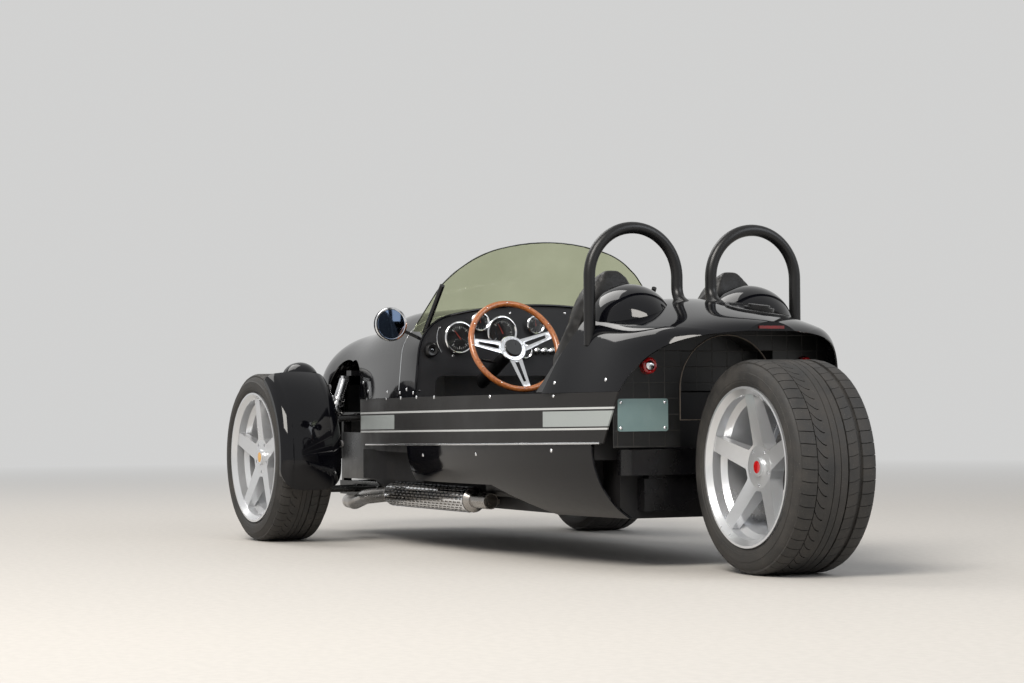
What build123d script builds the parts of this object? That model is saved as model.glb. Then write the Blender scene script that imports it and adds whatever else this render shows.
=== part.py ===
from build123d import *
from math import atan2, cos, degrees, hypot, radians, sin, sqrt, tan
import os

os.makedirs("parts", exist_ok=True)

# Millimetres. X forward, Y to the car's left, Z up. The origin is on the ground, mid length.
# A station is a distance ahead of the rear axle.

# Wheels and track
wheelbase = 2577
nose_overhang = 675
track = 1368
front_tyre_radius = 318.5
front_tyre_width = 225
rear_tyre_radius = 328
rear_tyre_width = 285
bead_radius = 230
lip_radius = 246
spoke_count = 5
lug_circle_radius = 56
lug_hole_radius = 6.5
front_hub_recess = 35
rear_hub_recess = 52
disc_radius = 150
disc_thickness = 22

length = rear_tyre_radius + wheelbase + nose_overhang
rear_axle_x = rear_tyre_radius - length / 2

# Body plan: two arcs that meet where the car is widest
body_rear = 313
body_rear_half = 404
body_widest = 1250
body_widest_half = 512
body_front = 2480
body_front_half = 388

# Body heights, each given at the rear and front ends of the side panel
waist_rear, waist_front = 560, 536
panel_bottom_rear, panel_bottom_front = 400, 362
floor_z = 150
floor_lift = 8
hull_tuck = 150

# Walls and clearances
skin = 5
tub_wall = 12
seam = 0.8
fit_gap = 0.3

# Cockpit stations
firewall = 1990
cowl_rear = 1705
hood_seam = 1893
seat_bulkhead = 610
skirt_rear = 443
skirt_front = 1790
tub_floor_half = 330
sill_z = 345
well_panel = 340

# Running gear
steer_offset = 64
ball_joint_low_z = 205
ball_joint_high_z = 440
fender_gap = 26
fender_half = 120
hoop_y = 222
hoop_station = 548
hoop_tube = 38
hoop_half = 178
hoop_top = 1106
exhaust_y = 400
exhaust_z = 187
exhaust_pipe = 55
shield_dia = 86


def at(station):
    """X of a station ahead of the rear axle."""
    return rear_axle_x + station


def blend(station, rear_value, front_value):
    """A height that runs straight from the rear end of the side panel to its front end."""
    share = (station - body_rear) / (body_front - body_rear)
    return rear_value + share * (front_value - rear_value)


def outline(station):
    """Half width of the body side in plan."""
    end, half = (body_front, body_front_half) if station > body_widest else (body_rear, body_rear_half)
    drop = body_widest_half - half
    radius = ((end - body_widest) ** 2 + drop**2) / (2 * drop)
    return body_widest_half - radius + sqrt(radius**2 - (station - body_widest) ** 2)


def waist(station):
    return blend(station, waist_rear, waist_front)


def panel_bottom(station):
    return blend(station, panel_bottom_rear, panel_bottom_front)


def cross(station):
    """Plane across the car, seen from the front with Y to the right."""
    return Plane(origin=(at(station), 0, 0), x_dir=(0, 1, 0), z_dir=(1, 0, 0))


def save(piece, name):
    piece.part.label = name
    export_step(piece.part, "parts/" + name + ".step")


def mirrored(piece):
    """The same piece on the other side of the car."""
    with BuildPart() as other:
        mirror(piece.part, about=Plane.XZ)
    return other


def side_cut(points):
    """A slab across the whole car whose side view is the given station and height outline."""
    with BuildPart() as slab:
        with BuildSketch(Plane.XZ):
            with BuildLine():
                Polyline(*[(at(s), z) for s, z in points], close=True)
            make_face()
        extrude(amount=2 * body_widest_half, both=True)
    return slab.part


# Lower hull, a boat-like section whose sides turn under to a narrow floor
trim = 40
hull_stations = (body_rear - trim, 800, 1250, 1800, body_front + trim)


def hull(inset, lift=0, above=0):
    """The hull's solid, set in from its outside, a little past the body's two ends."""
    with BuildPart() as shape:
        for s in hull_stations:
            w = outline(s) - inset
            low = w - hull_tuck + inset / 2
            bottom = floor_z + lift
            knuckle = panel_bottom(s)
            top = waist(s) + above
            with BuildSketch(cross(s)):
                with BuildLine():
                    Line((-low, bottom), (low, bottom))
                    TangentArc((w, knuckle), (low, bottom), tangent=(0, -1))
                    Polyline((w, knuckle), (w, top), (-w, top), (-w, knuckle))
                    TangentArc((-w, knuckle), (-low, bottom), tangent=(0, -1))
                make_face()
        loft()
    return shape.part


hull_skin = hull(0) - hull(skin, lift=skin, above=30)

panel_corners = (
    (body_rear, waist(body_rear) + 5),
    (body_front, waist(body_front) + 5),
    (body_front, panel_bottom(body_front)),
    (body_rear + 72, panel_bottom(body_rear + 72)),
    (body_rear, waist(body_rear)),
)
with BuildPart() as side_panel_left:
    add(hull_skin)
    add(side_cut(panel_corners), mode=Mode.INTERSECT)
    split(bisect_by=Plane.XZ, keep=Keep.BOTTOM)
save(side_panel_left, "side_panel_left")
side_panel_right = mirrored(side_panel_left)
save(side_panel_right, "side_panel_right")

# Skirts under the side panels, cut away over the exhausts
exhaust_cut_z = 250
skirt_corners = (
    (skirt_rear, floor_z + floor_lift),
    (skirt_rear, panel_bottom(skirt_rear) - seam),
    (skirt_front, panel_bottom(skirt_front) - seam),
    (skirt_front, exhaust_cut_z - 4),
    (1107, exhaust_cut_z),
    (840, floor_z + floor_lift),
)
with BuildPart() as skirt_left:
    add(hull_skin)
    add(side_cut(skirt_corners), mode=Mode.INTERSECT)
    split(bisect_by=Plane.XZ, keep=Keep.BOTTOM)
save(skirt_left, "skirt_left")
skirt_right = mirrored(skirt_left)
save(skirt_right, "skirt_right")


def plan_block(inset, rear, front, low, high):
    """Part of the body plan, set in from the skin, between two stations and two heights."""
    with BuildPart() as block:
        with BuildSketch(Plane.XY.offset(low)):
            with BuildLine():
                ends = [(s, outline(s) - inset) for s in (rear, front)]
                middle = (rear + front) / 2
                Line((at(rear), -ends[0][1]), (at(rear), ends[0][1]))
                ThreePointArc(
                    (at(rear), ends[0][1]), (at(middle), outline(middle) - inset), (at(front), ends[1][1])
                )
                Line((at(front), ends[1][1]), (at(front), -ends[1][1]))
                ThreePointArc(
                    (at(front), -ends[1][1]), (at(middle), inset - outline(middle)), (at(rear), -ends[0][1])
                )
            make_face()
        extrude(amount=high - low)
    return block.part


def box_between(rear, front, half, low, high):
    """A block centred on the car."""
    with BuildPart() as block:
        with BuildSketch(Plane.XY.offset(low)):
            with Locations((at((rear + front) / 2), 0)):
                Rectangle(front - rear, 2 * half)
        extrude(amount=high - low)
    return block.part


# Chassis boxes that fill the sides ahead of the skirts, above the exhaust pipes
side_box_rear, side_box_front = skirt_front + 10, 2375
side_box_low, side_box_high = 238, 348
side_box_out = 418

# Tub: floor pan between stepped sills, with bulkheads ahead of and behind the two seats
tub_inset = skin + 8
sill_cap = 22
tub_rear = skirt_rear + 2
tub_base = floor_z + floor_lift
tub_floor = tub_base + tub_wall
tub_top_corners = (
    (tub_rear, tub_base - 10),
    (tub_rear, waist(tub_rear) - 2),
    (body_front, waist(body_front) - 2),
    (body_front, tub_base - 10),
)
tub_inside = hull(tub_inset + tub_wall, lift=floor_lift + tub_wall, above=10)

# Outriggers: thin plates on the tub that carry the side panels and the skirts
outrigger_wall = 6
outrigger_table = (
    # station, lowest height
    (560, tub_base + 12),
    (790, tub_base + 12),
    (1250, exhaust_cut_z + 10),
    (1740, exhaust_cut_z + 10),
    (2300, panel_bottom(2300) + 8),
)
with BuildPart() as outriggers:
    add(hull(skin + fit_gap, lift=skin + fit_gap))
    plates = [
        side_cut([(s, low), (s + outrigger_wall, low), (s + outrigger_wall, 800), (s, 800)])
        for s, low in outrigger_table
    ]
    add(plates, mode=Mode.INTERSECT)
with BuildPart() as tub:
    add(hull(tub_inset, lift=floor_lift - 3))
    add(box_between(tub_rear, body_front, tub_floor_half, tub_base, sill_z + tub_wall), mode=Mode.INTERSECT)
    add(plan_block(tub_inset, tub_rear, body_front, sill_z, waist_rear))
    add(outriggers.part)
    add(side_cut(tub_top_corners), mode=Mode.INTERSECT)
    for side in (1, -1):
        with BuildSketch(Plane.XY.offset(side_box_low)):
            with Locations((at((side_box_rear + side_box_front) / 2), side * (tub_floor_half + side_box_out) / 2)):
                Rectangle(side_box_front - side_box_rear, side_box_out - tub_floor_half + 2)
        extrude(amount=side_box_high - side_box_low)
    bays = (
        # rear station, front station
        (tub_rear + tub_wall, seat_bulkhead - tub_wall),
        (seat_bulkhead, firewall),
        (firewall + tub_wall, body_front + 50),
    )
    for rear, front in bays:
        add(
            plan_block(tub_inset + sill_cap, rear, front, sill_z + tub_wall, waist_rear + 20),
            mode=Mode.SUBTRACT,
        )
        well = box_between(rear, front, tub_floor_half - tub_wall, tub_floor, waist_rear)
        add(tub_inside & well, mode=Mode.SUBTRACT)
save(tub, "tub")


# Upper body sections: leaning side, round shoulder and a shallow crown, all tangent
def upper_section(station, half, lean, side_top, shoulder, crown, base, foot, inset=0):
    """half is measured at the height foot; base is the height where the section starts."""
    tilt = tan(radians(lean))
    side_top_y = half - (side_top - foot) * tilt - inset / cos(radians(lean))
    r = shoulder - inset
    top = crown - inset
    arc_y = side_top_y - r * cos(radians(lean))
    arc_z = side_top - r * sin(radians(lean))
    rise = top - arc_z
    crown_radius = (arc_y**2 + rise**2 - r**2) / (2 * (rise - r))
    crown_z = top - crown_radius
    reach = hypot(arc_y, arc_z - crown_z)
    touch = (arc_y * crown_radius / reach, crown_z + (arc_z - crown_z) * crown_radius / reach)
    base_y = side_top_y + (side_top - base) * tilt
    turn = (radians(lean) + atan2(arc_z - crown_z, arc_y)) / 2
    middle = (arc_y + r * cos(turn), arc_z + r * sin(turn))
    with BuildSketch(cross(station)) as sketch:
        with BuildLine():
            Line((-base_y, base), (base_y, base))
            Line((base_y, base), (side_top_y, side_top))
            ThreePointArc((side_top_y, side_top), middle, touch)
            ThreePointArc(touch, (0, top), (-touch[0], touch[1]))
            ThreePointArc((-touch[0], touch[1]), (-middle[0], middle[1]), (-side_top_y, side_top))
            Line((-side_top_y, side_top), (-base_y, base))
        make_face()
    return sketch.sketch


def slide(row, neighbour, distance):
    """The row, moved that far towards its neighbour, or away where the distance is negative."""
    share = distance / abs(neighbour[0] - row[0])
    return tuple(a + (b - a) * share for a, b in zip(row, neighbour))


def upper_body(table, base, foot, inset=0, rear_move=0, front_move=0):
    """A body over the sections of a table; its ends can be moved forward."""
    rows = list(table)
    rows[0] = slide(table[0], table[1], rear_move)
    rows[-1] = slide(table[-1], table[-2], -front_move)
    with BuildPart() as shape:
        for row in rows:
            add(upper_section(*row, base - 2 * abs(inset), foot, inset))
        loft()
    return shape.part


nose_front = wheelbase + nose_overhang
nose_base = 290
nose_table = (
    # station, half width at the waist, lean, side top, shoulder radius, crown height
    (cowl_rear - trim, outline(cowl_rear - trim), 6.6, 713, 170, 889),
    (2000, outline(2000), 6.4, 702, 170, 879),
    (2400, outline(2400), 6, 684, 162, 853),
    (wheelbase + 223, 340, 4.5, 655, 148, 812),
    (nose_front - 160, 306, 3.5, 612, 130, 756),
    (nose_front - 60, 272, 2.5, 575, 108, 706),
    (nose_front, 225, 2, 540, 90, 655),
)
upper_foot = waist(cowl_rear)
nose_solid = upper_body(nose_table, nose_base, upper_foot)
nose_hollow = upper_body(nose_table, nose_base, upper_foot, skin, front_move=-skin)

# Nose: open below behind the front axle, with an arched window over the suspension
with BuildPart() as nose:
    add(nose_solid)
    add(nose_hollow, mode=Mode.SUBTRACT)
    with BuildSketch(Plane.XZ):
        with BuildLine():
            Polyline(
                (at(nose_front - 190), nose_base - 40),
                (at(hood_seam + seam), nose_base - 40),
                (at(hood_seam + seam), waist(hood_seam) + seam),
                (at(body_front + 20), waist(body_front) + seam),
                (at(body_front + 16), 592),
            )
            ThreePointArc(
                (at(body_front + 16), 592), (at(body_front + 56), 658), (at(wheelbase + 80), 684)
            )
            ThreePointArc(
                (at(wheelbase + 80), 684), (at(wheelbase + 300), 664), (at(nose_front - 230), 560)
            )
            Line((at(nose_front - 230), 560), (at(nose_front - 190), nose_base - 40))
        make_face()
    extrude(amount=2 * body_widest_half, both=True, mode=Mode.SUBTRACT)
    behind_seam = [(0, 0), (hood_seam + seam, 0), (hood_seam + seam, 1000), (0, 1000)]
    add(side_cut(behind_seam), mode=Mode.SUBTRACT)
    grille_half, grille_low, grille_high = 150, 335, 590
    with BuildSketch(cross(nose_front - 30)):
        with Locations((0, (grille_low + grille_high) / 2)):
            RectangleRounded(2 * grille_half, grille_high - grille_low, 70)
    extrude(amount=60, mode=Mode.SUBTRACT)
save(nose, "nose")

# Cowl: the arch round the dashboard
with BuildPart() as cowl:
    add(nose_solid)
    add(nose_hollow, mode=Mode.SUBTRACT)
    cowl_corners = [
        (cowl_rear, waist(cowl_rear) + seam),
        (hood_seam, waist(hood_seam) + seam),
        (hood_seam, 1000),
        (cowl_rear, 1000),
    ]
    add(side_cut(cowl_corners), mode=Mode.INTERSECT)
save(cowl, "cowl")

# Grille: a rim with upright bars that fills the opening in the nose
grille_bar = 5
grille_depth = 14
with BuildPart() as grille:
    with BuildSketch(cross(nose_front - grille_depth)):
        with Locations((0, (grille_low + grille_high) / 2)):
            RectangleRounded(2 * grille_half - 1, grille_high - grille_low - 1, 69.5)
            RectangleRounded(2 * grille_half - 17, grille_high - grille_low - 17, 61.5, mode=Mode.SUBTRACT)
    extrude(amount=grille_depth)
    with BuildSketch(cross(nose_front - skin - 4)):
        with Locations((0, (grille_low + grille_high) / 2)):
            with GridLocations(24, 0, 11, 1):
                Rectangle(grille_bar, grille_high - grille_low)
            with GridLocations(0, 84, 1, 2):
                Rectangle(2 * grille_half, grille_bar)
            RectangleRounded(2 * grille_half - 5, grille_high - grille_low - 5, 67, mode=Mode.INTERSECT)
    extrude(amount=6)
save(grille, "grille")

# Dashboard bulkhead inside the cowl arch, open below for the feet
dash_face = cowl_rear + 8
dash_thick = 12
foot_opening = (820, 110)
with BuildPart() as dashboard:
    add(upper_body(nose_table, nose_base, upper_foot, skin + fit_gap, front_move=-skin))
    dash_corners = [
        (dash_face, waist(cowl_rear) + 2),
        (dash_face + dash_thick, waist(cowl_rear) + 2),
        (dash_face + dash_thick, 1000),
        (dash_face, 1000),
    ]
    add(side_cut(dash_corners), mode=Mode.INTERSECT)
    with BuildSketch(cross(dash_face - 10)):
        with Locations((0, waist(cowl_rear) + 20)):
            RectangleRounded(*foot_opening, 30)
    extrude(amount=100, mode=Mode.SUBTRACT)
save(dashboard, "dashboard")

# Instruments: large and small dials in rims, on the bulkhead's rear face
dial_table = (
    # y, z, radius
    (318, 757, 57),
    (150, 778, 57),
    (236, 814, 34),
    (14, 804, 34),
    (58, 706, 26),
)
with BuildPart() as gauges:
    for y, z, radius in dial_table:
        with BuildSketch(cross(dash_face - fit_gap)):
            with Locations((y, z)):
                Circle(radius)
        extrude(amount=-16)
        with BuildSketch(cross(dash_face - 16 - fit_gap)):
            with Locations((y, z)):
                Circle(radius - 6)
        extrude(amount=6, mode=Mode.SUBTRACT)
save(gauges, "gauges")

# Rear deck: a boat tail arched over the rear wheel
tail_tip = 64
deck_front = 700
deck_foot = waist_rear
deck_table = (
    # station, half width at the waist, lean, side top, shoulder radius, crown height
    (tail_tip, 150, 15, 716, 38, 774),
    (tail_tip + 60, 268, 15, 706, 66, 788),
    (200, 350, 15, 698, 90, 804),
    (body_rear, outline(body_rear), 15, 692, 110, 826),
    (hoop_station, outline(hoop_station), 21, 733, 128, 860),
    (deck_front + trim, outline(deck_front + trim), 22, 726, 130, 862),
)
deck_base = 500
deck_solid = upper_body(deck_table, deck_base, deck_foot)
with BuildPart() as rear_deck:
    add(deck_solid)
    add(upper_body(deck_table, deck_base, deck_foot, skin, rear_move=skin), mode=Mode.SUBTRACT)
    with BuildSketch(Plane.XZ):
        with BuildLine():
            Polyline(
                (at(0), 749),
                (at(0), 480),
                (at(800), 480),
                (at(800), waist(800) + seam),
                (at(body_rear), waist(body_rear) + seam),
            )
            ThreePointArc((at(body_rear), waist(body_rear) + seam), (at(205), 690), (at(tail_tip), 745))
            Line((at(tail_tip), 745), (at(0), 749))
        make_face()
    extrude(amount=600, both=True, mode=Mode.SUBTRACT)
    front_edge = [(694, 540), (668, 673), (624, 759), (600, 900), (900, 900), (900, 540)]
    add(side_cut(front_edge), mode=Mode.SUBTRACT)
save(rear_deck, "rear_deck")

# Wheel well: the panel behind the seats, with an arched recess that clears the rear wheel
well_half = 170
well_top = 738
well_low = 385
well_depth = 95
well_wall = 4
with BuildPart() as well_inner:
    with BuildSketch(cross(well_panel - 60)):
        with Locations((0, (well_low + well_top) / 2 - 100)):
            Rectangle(2 * well_half, well_top - well_low - 40 + 140)
        with Locations((0, well_top - well_half)):
            Circle(well_half)
    extrude(amount=60 + well_depth)
with BuildPart() as well_wings:
    add(hull(skin + 0.5, above=5))
    add(box_between(well_panel, well_panel + well_wall, 500, well_low, waist_rear + 2), mode=Mode.INTERSECT)
    add(box_between(well_panel - 10, well_panel + 20, well_half, 0, 1000), mode=Mode.SUBTRACT)
with BuildPart() as wheel_well:
    with BuildSketch(cross(well_panel)):
        with Locations((0, (well_low + well_top) / 2)):
            Rectangle(2 * well_half + 2 * well_wall, well_top - well_low)
        with Locations((0, well_top - well_half)):
            Circle(well_half + well_wall)
    extrude(amount=well_depth + well_wall)
    add(box_between(0, 1000, 300, well_low, 1000), mode=Mode.INTERSECT)
    with BuildSketch(cross(well_panel)):
        Rectangle(1200, 2000)
    extrude(amount=well_wall)
    above_waist = waist_rear + 2 * (skin + fit_gap) + 1
    add(upper_body(deck_table, above_waist, deck_foot, skin + fit_gap), mode=Mode.INTERSECT)
    add(well_inner.part, mode=Mode.SUBTRACT)
    add(well_wings.part)
save(wheel_well, "wheel_well")

# Plate, blank, on the well panel
plate_width, plate_height = 178, 102
with BuildPart() as plate:
    with BuildSketch(cross(well_panel - fit_gap)):
        with Locations((303, 487)):
            RectangleRounded(plate_width, plate_height, 8)
    extrude(amount=-2)
save(plate, "plate")

# Tail lights on the well panel, and the high strip under the tail
light_radius = 29
strip_half = 44
with BuildPart() as tail_lights:
    for side in (1, -1):
        with BuildSketch(cross(well_panel - fit_gap)):
            with Locations((side * 285, 642)):
                Circle(light_radius)
        extrude(amount=-14, taper=12)
    with BuildSketch(cross(tail_tip - fit_gap)):
        with Locations((0, 756)):
            Rectangle(2 * strip_half, 9)
    extrude(amount=-5)
save(tail_lights, "tail_lights")


def rod(start, end, radius):
    """A round bar between two points given as station, Y and Z."""
    p = Vector(at(start[0]), start[1], start[2])
    q = Vector(at(end[0]), end[1], end[2])
    with BuildPart() as bar:
        with BuildSketch(Plane(origin=p, z_dir=q - p)):
            Circle(radius)
        extrude(amount=(q - p).length)
    return bar.part


def block(station, y, z):
    """A block between three pairs of limits."""
    with BuildPart() as solid:
        with BuildSketch(Plane.XY.offset(z[0])):
            with Locations((at(sum(station) / 2), sum(y) / 2)):
                Rectangle(station[1] - station[0], y[1] - y[0])
        extrude(amount=z[1] - z[0])
    return solid.part


# Roll hoops, one behind each seat, with their feet on the deck
hoop_leg = hoop_half - hoop_tube / 2
hoop_spring = hoop_top - hoop_half
hoop_foot = 640
foot_route = (
    # station, height of the inner leg's foot, which bends back along the deck
    (hoop_station, 960),
    (hoop_station, 862),
    (hoop_station - 80, 826),
)
with BuildPart() as hoop_left:
    with BuildLine(cross(hoop_station)) as hoop_path:
        Line((hoop_y - hoop_leg, hoop_foot), (hoop_y - hoop_leg, hoop_spring))
        ThreePointArc(
            (hoop_y - hoop_leg, hoop_spring),
            (hoop_y, hoop_spring + hoop_leg),
            (hoop_y + hoop_leg, hoop_spring),
        )
        Line((hoop_y + hoop_leg, hoop_spring), (hoop_y + hoop_leg, hoop_foot))
    with BuildSketch(Plane(origin=(at(hoop_station), hoop_y - hoop_leg, hoop_foot), z_dir=(0, 0, 1))):
        Circle(hoop_tube / 2)
    sweep(path=hoop_path.line)
    with BuildLine() as foot_path:
        FilletPolyline(*[(at(s), hoop_y - hoop_leg, z) for s, z in foot_route], radius=55)
    with BuildSketch(Plane(origin=foot_path.line @ 0, z_dir=foot_path.line % 0)):
        Circle(hoop_tube / 2)
    sweep(path=foot_path.line)
    deck_clear = upper_body(deck_table, deck_base, deck_foot, -fit_gap, rear_move=-fit_gap)
    add(deck_clear, mode=Mode.SUBTRACT)
with BuildPart() as roll_hoops:
    add(hoop_left)
    mirror(hoop_left.part, about=Plane.XZ)
save(roll_hoops, "roll_hoops")

# Head fairings behind the hoops, round bumps that run out on the deck
fairing_front = 600
fairing_tip = 372
fairing_radius = 131
fairing_z = 775
with BuildPart() as fairing_left:
    with BuildSketch(Plane(origin=(at(0), hoop_y, fairing_z), x_dir=(1, 0, 0), z_dir=(0, -1, 0))):
        with BuildLine():
            Line((fairing_tip, 0), (fairing_front, 0))
            Line((fairing_front, 0), (fairing_front, fairing_radius))
            ThreePointArc((fairing_front, fairing_radius), (478, 0.81 * fairing_radius), (fairing_tip, 0))
        make_face()
    revolve(axis=Axis((at(0), hoop_y, fairing_z), (1, 0, 0)))
    add(deck_clear, mode=Mode.SUBTRACT)
    add(block((fairing_tip - 50, fairing_front + 1), (0, 500), (400, 720)), mode=Mode.SUBTRACT)
with BuildPart() as head_fairings:
    add(fairing_left)
    mirror(fairing_left.part, about=Plane.XZ)
save(head_fairings, "head_fairings")

# Seats: a cushion on the floor pan and sill, and a reclined back with its headrest
seat_y = hoop_y
seat_half = 196
seat_floor = tub_floor + fit_gap
seat_sill = sill_z + tub_wall + fit_gap
cushion = (24, tub_floor_half - tub_wall - 2)
with BuildPart() as seat_left:
    with BuildSketch(Plane.XZ) as seat_side:
        with BuildLine():
            Polyline(
                (at(870), seat_floor),
                (at(1340), seat_floor),
                (at(1372), 290),
                (at(1350), 322),
                (at(1020), 296),
                (at(892), 430),
                (at(740), 900),
                (at(700), 955),
                (at(668), 958),
                (at(640), 930),
                (at(700), 600),
                (at(800), 350),
                close=True,
            )
        make_face()
    extrude(amount=-body_widest_half)
    with BuildSketch(cross(600)):
        with BuildLine():
            Polyline(
                (cushion[0], 100),
                (cushion[1], 100),
                (cushion[1], seat_sill),
                (seat_y + seat_half, seat_sill),
                (seat_y + seat_half, 700),
                (seat_y + 120, 905),
                (seat_y + 60, 965),
                (seat_y - 60, 965),
                (seat_y - 120, 905),
                (seat_y - seat_half, 700),
                (seat_y - seat_half, seat_sill),
                (cushion[0], seat_sill),
                close=True,
            )
        make_face()
    extrude(amount=900, mode=Mode.INTERSECT)
save(seat_left, "seat_left")
seat_right = mirrored(seat_left)
save(seat_right, "seat_right")

# Windscreen: a bent sheet that leans back, cut to a low arched outline
screen_thick = 5
screen_radius = 1100
screen_base = 1800
screen_foot_z = 870
screen_lean = 0.83
screen_half = 420
with BuildPart() as windscreen:
    with BuildSketch(Plane.XY.offset(screen_foot_z - 150)):
        with Locations((at(screen_base) - screen_radius + 150 * screen_lean, 0)):
            Circle(screen_radius)
            Circle(screen_radius - screen_thick, mode=Mode.SUBTRACT)
        with Locations((at(screen_base) + 150, 0)):
            Rectangle(800, 2 * screen_half + 200, mode=Mode.INTERSECT)
    lean_dir = Vector(-screen_lean, 0, 1)
    extrude(amount=420 * lean_dir.length, dir=lean_dir)
    with BuildSketch(cross(1300)):
        with BuildLine():
            Polyline((-470, 780), (470, 780), (468, 800), (413, 935))
            ThreePointArc((413, 935), (318, 1022), (180, 1078))
            ThreePointArc((180, 1078), (0, 1099), (-180, 1078))
            ThreePointArc((-180, 1078), (-318, 1022), (-413, 935))
            Polyline((-413, 935), (-468, 800), (-470, 780))
        make_face()
    extrude(amount=800, mode=Mode.INTERSECT)
    nose_clear = upper_body(nose_table, nose_base, upper_foot, -fit_gap)
    add(nose_clear, mode=Mode.SUBTRACT)
    behind_cowl = [(1000, 700), (cowl_rear, 700), (cowl_rear, 860), (1000, 860)]
    add(side_cut(behind_cowl), mode=Mode.SUBTRACT)
save(windscreen, "windscreen")

# Screen posts: bars that grip the sheet's two side edges
cowl_clear = nose_clear & side_cut([(cowl_rear, 0), (3000, 0), (3000, 1000), (cowl_rear, 1000)])
with BuildPart() as post_left:
    add(rod((1740, 440, 770), (1606, 426, 940), 9))
    add(cowl_clear, mode=Mode.SUBTRACT)
    add(windscreen.part, mode=Mode.SUBTRACT)
with BuildPart() as screen_posts:
    add(post_left)
    mirror(post_left.part, about=Plane.XZ)
save(screen_posts, "screen_posts")

# Mirrors: round housings on slender arms from the cowl
mirror_radius = 61
with BuildPart() as mirror_left:
    with BuildSketch(Plane(origin=(at(1765), 560, 806), x_dir=(0, 1, 0), z_dir=(-1, 0.12, 0))):
        Circle(mirror_radius)
    extrude(amount=-46, taper=14)
    add(rod((1756, 432, 748), (1788, 552, 806), 6))
    add(nose_clear, mode=Mode.SUBTRACT)
with BuildPart() as mirrors:
    add(mirror_left)
    mirror(mirror_left.part, about=Plane.XZ)
save(mirrors, "mirrors")

# Steering wheel, leaning forward at the top, on its column from the dashboard
wheel_hub = (at(1440), 222, 722)
wheel_lean = 24
wheel_rim_radius = 166
wheel_grip = 11
wheel_plane = Plane(
    origin=wheel_hub,
    x_dir=(0, -1, 0),
    z_dir=(-cos(radians(wheel_lean)), 0, sin(radians(wheel_lean))),
)
column_shaft = 10
shaft_fit = 0.05
wheel_dish = 22
spoke_angles = (17, 174, 276)
spoke_wall = 4
spoke_root, spoke_root_half, spoke_tip_half = 30, 24, 14
with BuildPart() as wheel_spokes:
    for angle in spoke_angles:
        way = radians(angle)
        radial = wheel_plane.x_dir * cos(way) + wheel_plane.y_dir * sin(way)
        with BuildSketch(Plane(origin=wheel_hub, x_dir=radial, z_dir=radial.cross(wheel_plane.z_dir))):
            with BuildLine():
                Polyline(
                    (spoke_root, -wheel_dish),
                    (wheel_rim_radius, -spoke_wall / 2),
                    (wheel_rim_radius, spoke_wall / 2),
                    (spoke_root, spoke_wall - wheel_dish),
                    close=True,
                )
            make_face()
        extrude(amount=spoke_root_half, both=True)
with BuildPart() as steering_wheel:
    with BuildSketch(wheel_plane.offset(-60)) as wheel_face:
        for angle in spoke_angles:
            with Locations(Rot(0, 0, angle)):
                Polygon(
                    (spoke_root, -spoke_root_half),
                    (wheel_rim_radius, -spoke_tip_half),
                    (wheel_rim_radius, spoke_tip_half),
                    (spoke_root, spoke_root_half),
                    align=None,
                )
                with Locations((98, 0)):
                    SlotOverall(72, 14, mode=Mode.SUBTRACT)
    extrude(amount=100)
    add(wheel_spokes.part, mode=Mode.INTERSECT)
    with Locations(wheel_plane):
        Torus(wheel_rim_radius, wheel_grip)
    with BuildSketch(wheel_plane.offset(-wheel_dish - 4)):
        Circle(41)
    extrude(amount=10)
    with BuildSketch(wheel_plane.offset(-wheel_dish - 22)):
        Circle(26)
    extrude(amount=32)
    with BuildSketch(wheel_plane.offset(-wheel_dish - 22)):
        Circle(column_shaft + shaft_fit)
    extrude(amount=18, mode=Mode.SUBTRACT)
save(steering_wheel, "steering_wheel")

column_length = (dash_face - 1440) / cos(radians(wheel_lean))
with BuildPart() as steering_column:
    with BuildSketch(wheel_plane.offset(-wheel_dish - 30)):
        Circle(24)
    extrude(amount=-(column_length - wheel_dish - 10))
    with BuildSketch(wheel_plane.offset(-wheel_dish - 30)):
        Circle(column_shaft)
    extrude(amount=24)
    beyond_dash = [(dash_face - fit_gap, 0), (2200, 0), (2200, 1000), (dash_face - fit_gap, 1000)]
    add(side_cut(beyond_dash), mode=Mode.SUBTRACT)
    add(rod((1560, 222, 662), (1552, 300, 676), 5))
save(steering_column, "steering_column")

# Engine block on the tub floor ahead of the firewall
engine_floor = tub_floor + fit_gap
with BuildPart() as engine:
    add(block((2030, 2370), (-230, 230), (engine_floor, 690)))
save(engine, "engine")

# Front frame: rails, cross members and the spring towers
frame_y = 250
frame_tube = 34
frame_front = wheelbase + 380
frame_rear = body_front + fit_gap
with BuildPart() as front_frame:
    for side in (1, -1):
        outer = (side * frame_y, side * (frame_y + frame_tube))
        y = (min(outer), max(outer))
        add(block((frame_rear, frame_front), y, (tub_base, 212)))
        add(block((frame_rear, frame_front), y, (450, 484)))
        for s in (frame_rear, frame_front - 40):
            add(block((s, s + 20), y, (200, 460)))
        tower = (side * frame_y, side * 388)
        add(block((2572, 2620), (min(tower), max(tower)), (628, 648)))
        add(block((2572, 2620), y, (470, 640)))
    for s in (frame_rear, frame_front - 40):
        add(block((s, s + 20), (-frame_y - 4, frame_y + 4), (tub_base, 212)))
        add(block((s, s + 20), (-frame_y - 4, frame_y + 4), (450, 484)))
save(front_frame, "front_frame")

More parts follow.
